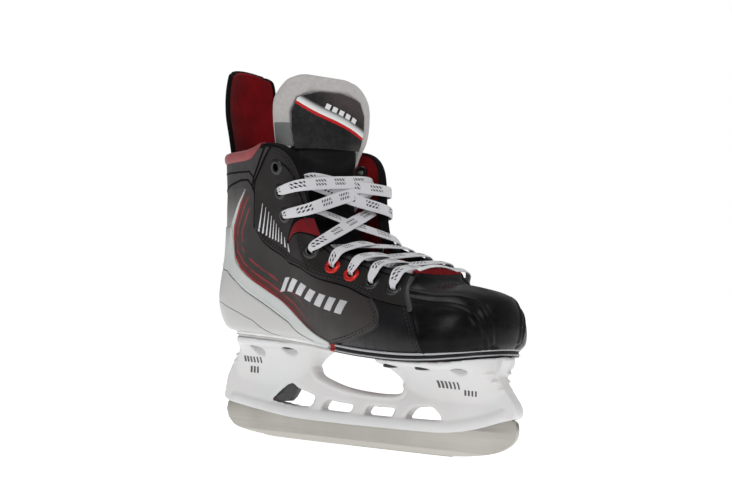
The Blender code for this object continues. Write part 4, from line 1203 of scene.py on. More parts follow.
def build_sole():
    """Outsole, insole board and footbed, and the piping round the sole's edge."""
    outsole = sole_slab("outsole_plate", -0.5, 0.0, OUTSOLE_THICKNESS, SOLE_BLACK, 0.9)
    board = sole_slab("insole_fibreboard", BOARD_INSET, OUTSOLE_THICKNESS + GAP, BOARD_THICKNESS, BOARD, 0.2)
    for made, body_slot, node in (
        (outsole, "outsole_plastic", "outsole"), (board, "board", "insole_board"),
    ):
        carve(made, [rivet_rods("shank_holes", SHANK_HOLE_RADIUS)])
        settle(made, "boot", body_slot, node)
    lift = OUTSOLE_THICKNESS + GAP + BOARD_THICKNESS + FOOTBED_LIFT
    footbed = sole_slab("footbed_cushion", FOOTBED_INSET, lift, FOOTBED_THICKNESS, FOAM, 1.0)
    settle(footbed, "boot", "footbed_foam", "footbed")
    for name, reach, count, out, rise, wide, high, finish, slot in (
        ("sole_piping_upper", 11.2, 420, 0.9, 0.55, 1.5, 1.6, PIPING, "quarter_grey"),
        ("sole_piping_lower", 11.2, 420, 0.9, -2.6, 0.9, 1.6, PIPING, "quarter_grey"),
        ("heel_edge_trim", 4.9, 160, 1.0, -1.2, 2.4, 1.5, PIPING_WHITE, "white_panel"),
    ):
        u = np.linspace(-reach, reach, count)
        flat = unit(outward(u, 0.02) * (1, 1, 0))
        made = tube(name, surface(u, 0.0) + flat * out + np.array([0, 0, rise]), flat, wide, high, finish)
        settle(made, "boot", slot)


def build_rivets():
    """Domed studs through the sole into the holder's flanges."""
    top = OUTSOLE_THICKNESS + GAP + BOARD_THICKNESS + GAP
    low = -FLANGE_THICKNESS - 2 * GAP
    for name, x, y in rivet_places():
        profile = [
            (0.01, top + 1.3), (1.5, top + 1.25), (2.7, top + 0.95), (3.3, top + 0.45), (3.3, top),
            (2.2, top), (2.2, low), (4.6, low), (4.6, low - 1.0), (3.9, low - 1.5), (2.2, low - 1.8),
            (1.5, low - 1.8), (1.1, low - 1.2), (0.01, low - 1.2),
        ]
        # The studs' steel is painted dark to stand for the shade inside the holder's wells.
        made = turned(name + "_stud", profile, (x, y, float(sole_height(x))), UP, SHADE_DARKENED_STEEL)
        settle(made, "boot", "steel", name)


def build_eyelets():
    """Turned eyelets, two of the outer side's in red."""
    profile = [
        (2.4, 1.9), (2.5, 2.6), (2.9, 2.95), (3.5, 3.0), (4.3, 2.75), (5.0, 2.3), (5.2, 2.0),
        (3.5, 2.0), (3.5, -5.6), (4.5, -5.6), (4.7, -5.9), (4.4, -6.2), (2.8, -6.2), (2.4, -5.9),
    ]
    for side, word in SIDES:
        for number, (s, t) in enumerate(EYELETS, 1):
            red = number in RED_EYELETS and side < 0
            finish, slot = (RED_PAINT, "eyelet_red") if red else (EYELET_BLACK, "eyelet_black")
            name = f"{word}_eyelet_ring_{number}"
            made = turned(name, profile, surface(side * s, t), outward(side * s, t), finish)
            settle(made, "boot", slot, f"{word}_eyelet_{number}")


def decal(side, corners, height, across, down):
    """Rings of points of a thin four-cornered print on the boot: corners (s, t) run round it."""
    a, b, c, d = [np.array(p, float) for p in corners]
    f, g = np.linspace(0, 1, across)[:, None, None], np.linspace(0, 1, down)[None, :, None]
    place = between(between(a, b, f), between(d, c, f), g)
    u, t = side * place[..., 0], place[..., 1]
    front = layer(u, t, np.full(u.shape, height + 0.18))
    back = layer(u, t, np.full(u.shape, height - 0.25))
    return np.concatenate([front, back[:, ::-1]], axis=1)


def joined(name, loops, finish):
    """One mesh from several closed loops of points."""
    verts, faces, start = [], [], 0
    for loop in loops:
        rows, cols = loop.shape[:2]
        faces += grid_faces(rows, cols, True, True, start)
        verts.append(loop.reshape(-1, 3))
        start += rows * cols
    mesh = bpy.data.meshes.new(name)
    mesh.from_pydata((np.concatenate(verts) * MM).tolist(), [], faces)
    return smooth_shade(add(name, mend(mesh), finish), 40)


def build_prints():
    """Tapered pinstripes, the red wedge and a row of plain slanted bars on each side."""
    tops, feet = np.array(PINSTRIPE_TOPS), np.array(PINSTRIPE_FEET)
    for side, word in SIDES:
        stripes, wide = [], np.array([0.034, 0])
        for k in range(PINSTRIPE_COUNT):
            head, foot = between(*tops, k / PINSTRIPE_STEPS), between(*feet, k / PINSTRIPE_STEPS)
            foot[1] = max(foot[1], float(facing_low(foot[0])) + 0.012)
            corners = [head - wide * 0.3, head + wide * 0.3, foot + wide, foot - wide]
            stripes.append(decal(side, corners, facing_height(side, *(head + foot) / 2), 4, 14))
        settle(joined(word + "_pinstripes", stripes, SILVER), "boot", "white_panel")
        top_left, top_right, low_right, low_left = np.array(BAR_ZONE)
        bars = []
        for k in range(BAR_COUNT):
            a, b = k / BAR_COUNT, (k + BAR_SHARE) / BAR_COUNT
            upper = [between(top_left, top_right, f) for f in (a + 0.03, b + 0.03)]
            lower = [between(low_left, low_right, f) for f in (b - 0.02, a - 0.02)]
            bars.append(decal(side, upper + lower, 0.5, 16, 8))
        settle(joined(word + "_slanted_bars", bars, SILVER), "boot", "white_panel")
        middle = facing_height(side, 4.6, 0.82)
        for name, corners, height, finish, slot in (
            ("_wedge_trim", NOTCH_TRIM, middle, BINDING, "facing_charcoal"),
            ("_red_wedge", NOTCH, middle + 0.2, RED_INSERT, "red_lining"),
        ):
            made = joined(word + name, [decal(side, corners, height, 10, 20)], finish)
            settle(made, "boot", slot)


def seam_lines(side):
    """Rows of stitching of one side of the boot."""
    seam = [(s, float(facing_low(s))) for s in np.linspace(2.5, 6.5, 60)]
    edge = [(s, float(facing_high(side)(s))) for s in np.linspace(3.2, 7.0, 70)]
    front = [(s, t) for s, t in softened(GREY_FRONT) if 0.02 < t < 0.63]
    band = [(1.08, 0.925), (1.69, 0.922), (2.11, 0.918), (2.40, 0.94)]
    rear = [(2.40, 0.90), (2.50, 0.93), (2.62, 0.965)]
    toe = [(float(seam_at(t)) - TOE_SEAM - 0.16, t) for t in np.linspace(0.05, 0.9, 30)]
    rows = (
        (seam, 1.95, (-side * 1.6, -side * 3.4)), (edge, 1.85, (side * 3.2, side * 5.0)),
        (front, 0.62, (side * 1.3, side * 3.2)), (SPLIT_STITCH, 2.0, (-1.0, 1.0)), (band, 0.1, (0.0,)),
        (rear, 0.1, (-0.9, 0.9)), (toe, 0.05, (0.0, -side * 1.8)),
    )
    return [boot_line(side, line, height, inset) for line, height, insets in rows for inset in insets]


def build_seam_cords():
    """Black cords along the facing's seam, its throat edge, the collar line and the arched seam."""
    for side, word in SIDES:
        low = [(s, float(facing_low(s)) - 0.004) for s in np.linspace(2.44, 6.5, 90)]
        rear = [(2.42, 0.70), (2.40, 0.80), (2.40, 0.885), (2.74, 0.942), (3.10, 0.995)]
        rear_2 = [(2.24, 0.86), (2.30, 0.90), (2.58, 0.955), (2.80, 0.995)]
        throat = [(s, float(facing_high(side)(s)) - 0.055) for s in np.linspace(3.2, 7.0, 90)]
        arch = [
            (0.0, 0.865), (0.9, 0.872), (1.35, 0.893), (1.75, 0.905), (2.05, 0.90), (2.28, 0.865),
            (2.40, 0.82),
        ]
        collar = [(0.0, 0.938), (1.08, 0.938), (1.69, 0.936), (2.11, 0.930), (2.30, 0.90)]
        for name, line, height, wide in (
            ("seam", low, 0.5, 1.7), ("rear", rear, 1.45, 1.5), ("rear_2", rear_2, 0.45, 1.6),
            ("throat", throat, 1.95, 1.2), ("arch", arch, 0.4, 1.7), ("collar", collar, 0.4, 1.4),
        ):
            points, normals = boot_line(side, line, height)
            made = tube(f"{word}_{name}_cord", points, normals, wide, 0.9, BINDING, sides=8)
            settle(made, "boot", "facing_charcoal")


def build_stitching():
    """All the boot's visible thread, one piece for each side."""
    for side, word in SIDES:
        made = stitch_mesh(word + "_stitching", seam_lines(side), THREAD)
        settle(made, "boot", "facing_charcoal")


def build_toe_strip():
    """The padded strip across the throat's toe end, behind the toe cap."""
    for side, word in SIDES:
        t = np.linspace(0.56, 0.93, 40)
        s = seam_at(t) - TOE_SEAM - 0.06
        place, normal = layer(side * s, t, np.full(40, 1.7)), outward(side * s, t)
        made = tube(word + "_toe_strip", place, normal, 3.4, 1.4, TOE_STRIP)
        settle(made, "boot", "toe_plastic")
    build_throat_bridge()


def build_throat_bridge():
    """The padded bridge that closes the throat ahead of the tongue, with its pale pull strap."""
    u = np.linspace(7.12, 7.7, 40)
    left, right = (layer(way * u, 0.985, np.full(40, 0.2)) for way in (1, -1))
    f = np.linspace(0, 1, 40)
    rows = between(left[:, None], right[:, None], f[None, :, None])
    width = np.linalg.norm(left - right, axis=1)
    sink = 0.8 + 6.0 * smoothstep((u - 7.16) / 0.22)
    rows[..., 2] += 0.05 * width[:, None] * (1 - (2 * f - 1) ** 2) - sink[:, None]
    made = add("throat_bridge", grid_mesh("throat_bridge", rows[:, ::-1]), CRIMSON)
    settle(thicken(made, 1.8, 0.5), "boot", "red_lining")
    strap = rows[4, 2:-2]
    strap[:, 2] += 1.6 + 1.6 * np.sin(np.pi * f[2:-2])
    facing = np.broadcast_to([0.3, 0, 1.0], strap.shape)
    made = tube("throat_strap", strap, facing, 3.6, 1.3, PIPING_WHITE)
    settle(made, "boot", "lace_white")


# ---------------------------------------------------------------- tongue and tendon guard
def tongue_frame(line, f):
    """Centre, half width, edge drop and the across and outward directions along the tongue."""
    made, ahead, behind = along(line, f), along(line, f + 0.02), along(line, f - 0.02)
    up = unit(np.stack([ahead[:, 0] - behind[:, 0], 0 * f, ahead[:, 1] - behind[:, 1]], -1))
    front = np.stack([up[:, 2], 0 * f, -up[:, 0]], -1)
    turn = np.radians(TONGUE_TURN_DEG) * np.clip((made[:, 1] - 125) / 70, 0, 1)[:, None]
    across = np.sin(turn) * front + np.cos(turn) * np.array([0, 1.0, 0])
    out = np.cos(turn) * front - np.sin(turn) * np.array([0, 1.0, 0])
    centre = np.stack([made[:, 0], centre_shift(made[:, 0]), made[:, 1]], -1)
    return centre, made[:, 2], made[:, 3], across, out


def pillow(name, line, rings, back, front, finish, sides=64, flatness=5.0):
    """A closed padded strip: front(x, f) and back depths in mm, with its long edges and ends rounded."""
    f = np.linspace(0, 1, rings)
    centre, half, drop, across, out = tongue_frame(line, f)
    x, share = oval(sides, 2 / flatness, 2 / PILLOW_SQUARENESS)
    from_end = np.clip(np.minimum(f, 1 - f) / 0.05, 0, 1)
    close = np.sqrt(np.clip(1 - (1 - from_end) ** 2, 0.02, 1))[:, None]
    reach = np.where(share > 0, front(x[None], f[:, None]) + back / 2, back / 2)
    height = -back / 2 + share * reach * close - drop[:, None] * x**2
    made = closed(name, swept(centre, across, out, x * half[:, None], height), finish)
    return smooth_shade(made, 75)


def badge_half(height):
    """Half the badge's width at a height over the tongue top's foot."""
    return np.interp(height, *np.array(BADGE_HALF_WIDTHS).T)


def build_tongue():
    """The creased black tongue, its white felt top and the badge."""
    lower = TONGUE_LINE[:-1] + [(-36, 187, 28.5, 6.2), (-37.0, 194.2, 26.5, 4.8)]

    def creased(x, f):
        flat_ends = smoothstep((f - 0.2) * 4) * smoothstep((0.93 - f) * 12)
        folds = 0.75 * np.sin(f * 52 + 1.6 * np.cos(x * 3)) * flat_ends
        seam = -0.9 * np.exp(-(x / 0.035) ** 2)
        piping = 0.7 * np.exp(-((abs(x) - 0.80) / 0.05) ** 2)
        return 0.3 + folds * (1 - x**4) + seam + piping * smoothstep((f - 0.1) * 8)

    made = pillow("tongue_lower", lower, 190, TONGUE_THICKNESS, creased, TONGUE_CLOTH)
    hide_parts("tongue")
    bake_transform(made)
    base = TONGUE_TOP_LINE[0][1]
    upper = [(-35.2, 181.0, 31, 9.5)] + TONGUE_TOP_LINE

    def rimmed(x, f):
        _, z, half, _ = along(upper, f[:, 0]).T[..., None]
        height = z - base
        outside = np.maximum(abs(x) * half - badge_half(height), height - BADGE_HALF_WIDTHS[-1][0])
        rim = smoothstep((outside + 1.0) / 3.5)
        tucked = smoothstep((7.0 - height) / 5.0) * smoothstep((29.5 - abs(x) * half) / 3.0)
        return 0.2 + 2.5 * rim - 3.6 * tucked

    felt = pillow("tongue_felt", upper, 150, TONGUE_TOP_THICKNESS, rimmed, FELT, 110, FELT_FLATNESS)
    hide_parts("tongue_top")
    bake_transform(felt)
    build_badge(upper, base)


def felt_lift(x, rim):
    """Height of the felt pillow's front at a share x of its half width."""
    share = np.sqrt(np.clip(1 - abs(x) ** FELT_FLATNESS, 0, 1)) ** (2 / PILLOW_SQUARENESS)
    return between(-TONGUE_TOP_THICKNESS / 2, rim, share)


def build_badge(line, base):
    """The glossy badge in the felt's hollow, its rim stitched, and the size patch on the felt's edge."""
    centre, half, drop, across, out = tongue_frame(line, np.linspace(0, 1, 600))

    def nearest(z):
        return np.array([int(np.argmin(abs(centre[:, 2] - value))) for value in z])

    heights = np.linspace(BADGE_HALF_WIDTHS[0][0] - 1.5, BADGE_HALF_WIDTHS[-1][0], 60)
    rows = nearest(base + heights)
    arched = np.sqrt(np.clip(1 - np.clip((heights - 34) / 6.2, 0, 1) ** 2.6, 0.05, 1))
    x = np.linspace(-1, 1, 70) * (badge_half(heights) * arched)[:, None]
    lift = OVERLAY_OUTER - drop[rows][:, None] * (x / half[rows][:, None]) ** 2
    place = swept(centre[rows], across[rows], out[rows], x, lift)
    mesh = grid_mesh("badge_plate", place[::-1], {"across": x[::-1], "height": heights[::-1, None]})
    made = thicken(add("badge_plate", mesh, BADGE), OVERLAY_THICKNESS, 0.3)
    settle(made, "tongue_flap", "badge_black", "tongue_badge")
    edge = np.concatenate([place[:, 2], place[-3, 2:-2], place[::-1, -3]])
    normal = np.concatenate([out[rows], np.repeat(out[rows[-3:-2]], 66, 0), out[rows][::-1]])
    thread = stitch_mesh("badge_stitching", [(edge, normal)], GREY_THREAD, 2.2, 1.6, 0.22)
    settle(thread, "tongue_flap", "badge_black")
    rows = nearest(np.linspace(193, 207, 16))
    x = np.linspace(-0.999, -0.79, 22)
    lift = felt_lift(x, 2.75) + 0.3 - drop[rows][:, None] * x**2
    patch = swept(centre[rows], across[rows], out[rows], x * half[rows][:, None], lift)
    made = thicken(add("size_label", grid_mesh("size_label", patch[::-1]), PATCH), 0.5, 0.15)
    settle(made, "tongue_flap", "white_felt")


GUARD_ROWS, GUARD_COLUMNS = 90, 110


def guard_grid(inset, trim):
    """The guard's face, carried down behind the collar, with its upper corners rounded."""
    f = np.linspace(0, 1, GUARD_ROWS)[:, None]
    back, z, radius, spread = along([(-110.4, 176, 31.3, 50)] + GUARD_LINE, f[:, 0]).T[..., None]
    spread = spread * (1 - 0.10 * smoothstep((f - 0.86) / 0.14) * f)
    share = np.linspace(1, -1, GUARD_COLUMNS)
    a, reach = np.radians(share * (spread - trim)), radius - inset
    dip = 2.6 * share**2 * smoothstep((f - 0.8) / 0.2)
    return np.stack([back + radius - reach * np.cos(a), reach * np.sin(a), z - dip], -1)


def build_tendon_guard():
    """The guard's shell, its padding and the piping round its edge."""
    points = guard_grid(0.0, 0.0)
    shell = add("tendon_guard_shell", grid_mesh("tendon_guard_shell", points), GUARD_SHELL)
    thicken(shell, 2.0, 0.6)
    lining, ahead = guard_grid(2.1, 1.5), np.array([30.0, 0, 0])
    toward = unit((ahead + lining.mean(axis=1, keepdims=True) - lining) * (1, 1, 0))
    f, share = np.linspace(0, 1, GUARD_ROWS)[:, None], np.linspace(-1, 1, GUARD_COLUMNS)
    puff = (1 - share**6) * np.clip(np.minimum(f / 0.04, (1 - f) / 0.06), 0, 1) ** 0.5
    face = lining + toward * (0.4 + 2.5 * puff)[..., None]
    loop = np.concatenate([lining, face[:, ::-1]], axis=1)
    made = smooth_shade(closed("tendon_guard_padding", loop, CRIMSON), 75)
    edge = np.concatenate([points[:, 0], points[-1, 1:-1], points[::-1, -1]])
    left, right = points[:, 0] - points[:, 6], points[::-1, -1] - points[::-1, -7]
    edge_out = np.concatenate([left, points[-1, 1:-1] - points[-6, 1:-1], right])
    inward = unit((np.array([points[..., 0].mean() + 30, 0, 0]) - edge) * (1, 1, 0))
    piping = tube("tendon_guard_piping", edge + inward * 0.96, edge_out, 3.2, 2.0, BINDING)
    for piece, slot, node in (
        (shell, "toe_plastic", "tendon_guard"), (made, "red_lining", "tendon_guard_lining"),
    ):
        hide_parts(node)
    for piece in (shell, made, piping):
        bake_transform(piece)


# ---------------------------------------------------------------- blade holder, runner and trigger
def grown(outline, by):
    """The outline moved outwards by a distance."""
    points = np.array(outline, float)
    d1, d2 = unit(points - np.roll(points, 1, 0)), unit(np.roll(points, -1, 0) - points)
    n1, n2 = np.stack([d1[:, 1], -d1[:, 0]], -1), np.stack([d2[:, 1], -d2[:, 0]], -1)
    return points + by * (n1 + n2) / np.maximum(1 + (n1 * n2).sum(-1, keepdims=True), 0.35)


def pillar(name, sections):
    """A flared post: super-ellipses from the flange down to the rail."""
    z, x0, x1, half = along(sections, np.linspace(0, 1, 40)).T[..., None]
    c, s = oval(72, 2 / PILLAR_SQUARENESS)
    x = (x0 + x1) / 2 + (x1 - x0) / 2 * c
    return closed(name, np.stack([x, half * s, np.broadcast_to(z, x.shape)], -1), None)


def rail_rolls():
    """Rounded rolls that stiffen the holder: the lower lip, the arch's rim and steps on the posts."""
    lip = [
        (-112, 24.0), (-100, 22.4), (-85, 20.4), (-66, 18.3), (-49, 17.4), (-15, 17.1), (19, 17.2),
        (45, 17.4), (68, 18.2), (84, 20.6), (98, 24.1), (108, 27.6), (114, 30.0),
    ]
    arch = [
        (-40.5, 47.5), (-38.5, 43), (-32, 39.6), (-13.5, 34.9), (11, 32.9), (30, 33.8), (36.5, 38),
        (35, 43),
    ]
    made = []
    for name, line, y, wide, high in (
        ("lip_medial", lip, 3.9, 3.6, 7.0), ("lip_lateral", lip, -3.9, 3.6, 7.0),
        ("arch_rim", arch, 0.0, 10.6, 4.4),
    ):
        x, z = along(line, np.linspace(0, 1, 120)).T
        points = np.stack([x, np.full(120, y), z], -1)
        made.append(tube(name, points, np.broadcast_to(UP, points.shape), wide, high, None, 2.4, 20))
    for sections, end, way in ((FRONT_PILLAR, 2, 1), (REAR_PILLAR, 1, -1)):
        for z in (35.0, 39.5, 44.0, 48.5, 53.0):
            levels = np.array(sorted(sections)).T
            x, half = np.interp(z, levels[0], levels[end]), np.interp(z, levels[0], levels[3])
            y = np.linspace(-half * 0.62, half * 0.62, 16)
            points = np.stack([x - way * (0.4 + 1.6 * (y / half) ** 2 * half / 6), y, np.full(16, z)], -1)
            facing = np.broadcast_to((way, 0, 0), points.shape)
            made.append(tube(f"step_{end}_{z:.0f}", points, facing, 2.2, 2.6, None, 2.2, 10))
    for roll in made:
        mend(roll.data)
    return made


def add_meshes(target, parts):
    """Puts the meshes of other pieces into one piece, and removes them."""
    bm = bmesh.new()
    for made in (target, *parts):
        bm.from_mesh(made.data)
    bm.to_mesh(target.data)
    bm.free()
    for made in parts:
        bpy.data.objects.remove(made, do_unlink=True)


def build_holder():
    """The moulded holder: web, posts, windows, slot and pocket, melted together and softened."""
    half = WEB_HALF_THICKNESS
    holder = plate("holder_moulded", [rounded(WEB_OUTLINE, 3)], -half, half, HOLDER_WHITE)
    posts = pillar("front_post", FRONT_PILLAR), pillar("rear_post", REAR_PILLAR)
    cutters = []
    for k, window in enumerate(rounded(w, 6) for w in WINDOWS):
        cutters.append(plate(f"window_{k}", [window], -9, 9))
        for y0, y1 in ((4.0, 9.0), (-9.0, -4.0)):
            cutters.append(plate(f"recess_{k}_{y0:.0f}", [grown(window, 1.7)], y0, y1))
    space = sole_slab("sole_space", -12.0, -GAP - 30.0, 30, None, 0.0)
    space.location.z = 0.030
    slot_half, pocket_half = RUNNER_THICKNESS / 2 + 0.5, POCKET_HALF_WIDTH + 0.3
    slot = plate("runner_slot", [grown(RUNNER_OUTLINE, SLOT_CLEARANCE)], -slot_half, slot_half)
    pocket = plate("trigger_pocket", [TRIGGER_POCKET], -pocket_half, pocket_half)
    shanks = rivet_rods("shanks", SHANK_HOLE_RADIUS)
    wells = rivet_rods("wells", WELL_RADIUS, FLANGE_THICKNESS + GAP + 15)
    carve(holder, [*cutters, space, slot, pocket, shanks, wells], posts)
    add_meshes(holder, rail_rolls())
    remesh = holder.modifiers.new("voxels", "REMESH")
    remesh.mode = "VOXEL"
    remesh.voxel_size = 0.75 * MM
    soften = holder.modifiers.new("soften", "SMOOTH")
    soften.factor = 0.5
    soften.iterations = 6
    bake(holder, 60)
    if not holder.data.materials:
        holder.data.materials.append(HOLDER_WHITE)
    settle(holder, "boot", "holder_plastic", "holder")
    build_holder_marks(holder)


def build_holder_marks(holder):
    """Plain slanted bars printed on the posts, laid on the moulding by casting rays at it."""
    tree = BVHTree.FromObject(holder, bpy.context.evaluated_depsgraph_get())
    zones = [
        (-97, 51.0, 2.0, 4.0, 6, 3.1), (-94, 44.0, 1.8, 4.4, 3, 3.0),
        (66, 45.0, 1.8, 4.6, 6, 3.0), (84, 40.6, 1.4, 3.4, 4, 2.6),
    ]
    f, g = np.linspace(0, 1, 5)[:, None], np.linspace(0, 1, 7)
    for side, word in SIDES:
        bars = []
        for x0, z0, wide, high, count, pitch in zones:
            for k in range(count):
                x = x0 + k * pitch + wide * f * (1 - 0.08 * k) + 0.35 * high * g
                z = np.broadcast_to(z0 - 0.05 * k + high * (g - 0.5), x.shape)
                starts = [Vector((a, side * 60, b)) * MM for a, b in zip(x.ravel(), z.ravel())]
                hits = [tree.ray_cast(start, Vector((0, -side, 0)))[:2] for start in starts]
                if any(place is None for place, _ in hits):
                    continue
                p = np.array([place for place, _ in hits]).reshape(5, 7, 3) / MM
                n = np.array([normal for _, normal in hits]).reshape(5, 7, 3)
                bars.append(np.concatenate([p + 0.12 * n, (p - 0.3 * n)[:, ::-1]], axis=1))
        if bars:
            settle(joined(word + "_holder_marks", bars, MARK_GREY), "boot", "trigger_plastic")


def softened_plate(name, outline, half, finish, edge, holes=()):
    """A flat piece of a half thickness with its holes and bevelled edges."""
    made = carve(plate(name, [outline], -half, half, finish), holes)
    round_edges(made, "edges", edge, 3, 50)
    return bake(made, 30)


def build_runner():
    """The steel runner, its lower edge a smooth curve."""
    toe, tabs, heel = RUNNER_OUTLINE[:11], RUNNER_OUTLINE[11:29], RUNNER_OUTLINE[29:]
    outline = [*along(heel + toe, np.linspace(0, 1, 130)), *tabs]
    made = softened_plate("runner_steel", outline, RUNNER_THICKNESS / 2, STEEL, 0.28)
    settle(made, "runner", "steel", "runner")


def build_trigger():
    """The release lever, and the steel of its pin and spring."""
    pivot = (TRIGGER_PIVOT[0], 0, TRIGGER_PIVOT[1])
    bore = rods("trigger_bore", [(pivot, (0, 1, 0), 1.58, 20)], 32)
    half = TRIGGER_HALF_THICKNESS
    made = softened_plate("trigger_lever", TRIGGER_OUTLINE, half, TRIGGER_GREY, 0.45, (bore,))
    settle(made, "trigger", "trigger_plastic", "trigger")
    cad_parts["trigger_pin"].data.materials[0] = SHADE_DARKENED_STEEL
    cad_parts["trigger_spring"].data.materials[0] = SPRING_STEEL


# ---------------------------------------------------------------- lace
TONGUE_PATH = along(TONGUE_LINE, np.linspace(0, 1, 61))


def clear_of_tongue(point, margin):
    """Moves a point forward of the tongue's middle line until it clears it by the margin."""
    gaps = np.hypot(TONGUE_PATH[:, 0] - point[0], TONGUE_PATH[:, 1] - point[2])
    k = int(np.clip(np.argmin(gaps), 1, 59))
    run = TONGUE_PATH[k + 1] - TONGUE_PATH[k - 1]
    front = np.array([run[1], 0.0, -run[0]]) / math.hypot(run[0], run[1])
    height = (point[0] - TONGUE_PATH[k, 0]) * front[0] + (point[2] - TONGUE_PATH[k, 1]) * front[2]
    drop = TONGUE_PATH[k, 3] * min(abs(point[1]) / TONGUE_PATH[k, 2], 1.1) ** 2
    return point + front * max(margin - drop - height, 0.0)


def nearest_edge(u, t):
    """The u at which the upper's free edge comes nearest to a place on the boot."""
    side = 1 if u > 0 else -1
    candidates = side * (3.3 + 0.02 * np.arange(230))
    gaps = np.linalg.norm(surface(candidates, top_of(candidates)) - surface(u, t), axis=1)
    return float(candidates[np.argmin(gaps)])


def lace_nodes():
    """Two runs of (place, width, width direction), each from the inside of its lowest eyelet to its tail."""
    strands = []
    for first in (-1, 1):
        side, nodes = first, []
        for number in range(8, 1, -1):
            u, t = EYELETS[number - 1]
            hole, normal = surface(side * u, t), outward(side * u, t)
            edge = nearest_edge(side * u, t)
            rim, rim_normal = surface(edge, top_of(edge)), outward(edge, top_of(edge))
            ahead = surface(edge + 0.1, top_of(edge)) - surface(edge - 0.1, top_of(edge))
            ahead = ahead * side / np.linalg.norm(ahead)
            next_u, next_t = EYELETS[number - 2]
            far_edge = nearest_edge(-side * next_u, next_t) if number > 2 else -side * 4.3
            far, far_normal = surface(far_edge, top_of(far_edge)), outward(far_edge, top_of(far_edge))
            nodes.append((hole - 8.4 * normal, 4.4, ahead))
            nodes += [(hole + depth * normal, LACE_NECK_WIDTH, ahead) for depth in (-6.4, -1.5, 3.4)]
            nodes.append((hole + 5.4 * normal + 0.3 * (rim - hole), 6.0, ahead))
            nodes.append((rim + 4.2 * rim_normal, LACE_WIDTH - 1, ahead))
            over = first * (1 if number % 2 else -1)
            middle = clear_of_tongue((rim + 3.5 * rim_normal + far - 5 * far_normal) / 2, 4.0)
            lifted = np.array([0.35, 0, 0.9]) * (1.9 if over > 0 else 0)
            nodes.append((middle + lifted, LACE_WIDTH, ahead))
            nodes.append((clear_of_tongue(far - 8.4 * far_normal, 3.0), LACE_WIDTH - 1.5, ahead))
            side = -side
        for u, t, depth in ((3.6, 0.78, 9.0), (3.3, 0.7, 9.2), (3.2, 0.6, 9.4), (3.2, 0.5, 9.6)):
            nodes.append((layer(side * u, t, -depth), LACE_WIDTH - 2.5, np.array([0.94, 0, 0.35])))
        strands.append(nodes)
    start, end = strands[0][0][0], strands[1][0][0]
    bar = [
        (clear_of_tongue(start + (end - start) * f, 3.8), LACE_WIDTH - 1, strands[0][0][2])
        for f in (0.15, 0.32, 0.5, 0.68, 0.85)
    ]
    return strands[0][::-1] + bar + strands[1]


def build_lace():
    """The flat lace as one ribbon with rounded edges."""
    nodes = lace_nodes()
    places, widths, hints = (np.array([np.atleast_1d(node[k]) for node in nodes], float) for k in range(3))
    count = 9 * (len(nodes) - 1)
    f = np.linspace(0, 1, count + 1)
    path, half, hint = along(places, f), along(widths, f)[:, 0] / 2, along(hints, f)
    tangent = unit(np.gradient(path, axis=0))
    wide = unit(hint - (hint * tangent).sum(-1, keepdims=True) * tangent)
    x, y = oval(20, 0.55, 0.8)
    swell = (y * LACE_THICKNESS / 2 * (1.0 - 0.18 * np.cos(x * 9)))[None]
    loop = swept(path, wide, np.cross(tangent, wide), x * half[:, None], swell)
    values = {"along": mileage(path)[:, None], "across": x * LACE_WIDTH / 2}
    made = smooth_shade(closed("lace_ribbon", loop, LACE, values), 75)
    settle(made, "boot", "lace_white", "lace")


# ---------------------------------------------------------------- camera, light and floor
CAMERA_AZIMUTH, CAMERA_ELEVATION, CAMERA_ROLL = 39.2, -0.45, 1.95
CAMERA_DISTANCE, CAMERA_LENS = 1150.0, 88.03
CAMERA_TARGET = (-2.5, 0.0, 125.3)
FILL_LIGHT = 0.27
FLOOR_GLOW = 0.85
STUDIO_LIGHTS = [  # (name, place in metres, watts, size in metres)
    ("key", (0.45, -1.1, 0.95), 5.5, (0.7, 0.5)),
    ("side", (1.3, 0.1, 0.9), 4.5, (0.5, 0.6)),
    ("top", (-0.2, 0.1, 1.3), 4.5, (0.8, 0.8)),
]


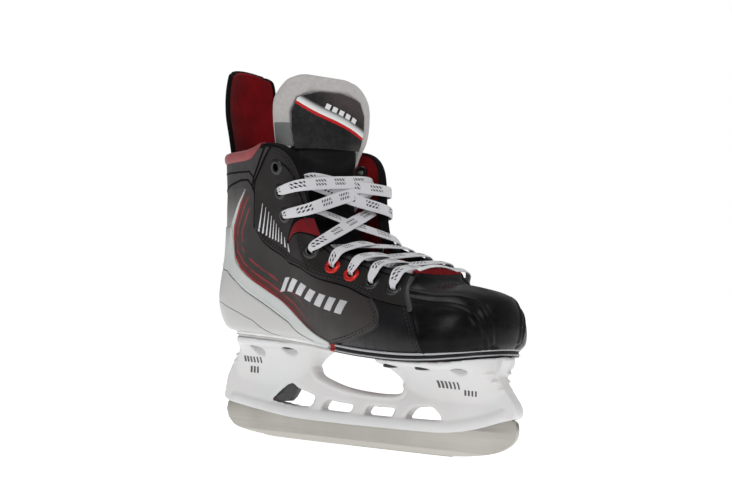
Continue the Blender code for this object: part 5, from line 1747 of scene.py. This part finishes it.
def build_camera():
    """The camera on its axes, rolled a little about its view."""
    a, e, r = (math.radians(v) for v in (CAMERA_AZIMUTH, CAMERA_ELEVATION, CAMERA_ROLL))
    back = Vector((math.sin(a) * math.cos(e), -math.cos(a) * math.cos(e), math.sin(e)))
    right = Vector((math.cos(a), math.sin(a), 0))
    up = back.cross(right)
    data = bpy.data.cameras.new("camera")
    data.lens = CAMERA_LENS
    data.sensor_width = 36
    camera = bpy.data.objects.new("camera", data)
    bpy.context.scene.collection.objects.link(camera)
    axes = [right * math.cos(r) + up * math.sin(r), up * math.cos(r) - right * math.sin(r), back]
    place = Matrix.Translation((Vector(CAMERA_TARGET) + back * CAMERA_DISTANCE) * MM)
    camera.matrix_world = place @ Matrix(axes).transposed().to_4x4()
    bpy.context.scene.camera = camera


def area_light(name, place, energy, size):
    """A soft box aimed at the middle of the skate."""
    data = bpy.data.lights.new(name, "AREA")
    data.shape = "RECTANGLE"
    data.size, data.size_y = size
    data.energy = energy
    made = bpy.data.objects.new(name, data)
    bpy.context.scene.collection.objects.link(made)
    made.location = place
    aim = Vector((0, 0, 0.12)) - Vector(place)
    made.rotation_euler = aim.to_track_quat("-Z", "Y").to_euler()


def build_studio():
    """White surroundings, three soft boxes and the pale floor."""
    world = bpy.data.worlds.new("studio")
    bpy.context.scene.world = world
    world.use_nodes = True
    tree = world.node_tree
    background = tree.nodes["Background"]
    background.inputs["Color"].default_value = (1, 1, 1, 1)
    paths = tree.nodes.new("ShaderNodeLightPath")
    strength = tree.nodes.new("ShaderNodeMapRange")
    strength.inputs["To Min"].default_value = FILL_LIGHT
    strength.inputs["To Max"].default_value = 1.0
    tree.links.new(paths.outputs["Is Camera Ray"], strength.inputs["Value"])
    tree.links.new(strength.outputs["Result"], background.inputs["Strength"])
    for light in STUDIO_LIGHTS:
        area_light(*light)
    mesh = bpy.data.meshes.new("floor")
    reach, drop = 6.0, 0.0005
    corners = [(-reach, -reach), (reach, -reach), (reach, reach), (-reach, reach)]
    mesh.from_pydata([(x, y, -drop) for x, y in corners], [], [(0, 1, 2, 3)])
    paper = Shade("studio_paper", Roughness=0.9, Emission_Strength=FLOOR_GLOW, Emission_Color=(1, 1, 1, 1))
    paper.set("Base Color", paper.mix(paper.noise(300, 2), (0.66, 0.66, 0.66), (0.70, 0.70, 0.70)))
    add("floor", mesh, paper.material)
    bpy.context.scene.view_settings.view_transform = "Standard"


# ---------------------------------------------------------------- putting it together
build_camera()
build_studio()
build_quarters()
build_heel_counter()
build_facings()
build_liner()
build_ankle_pads()
build_collar()
build_toe_cap()
build_toe_strip()
build_sole()
build_rivets()
build_eyelets()
build_prints()
build_stitching()
build_seam_cords()
build_tongue()
build_tendon_guard()
build_holder()
build_runner()
build_trigger()
build_lace()
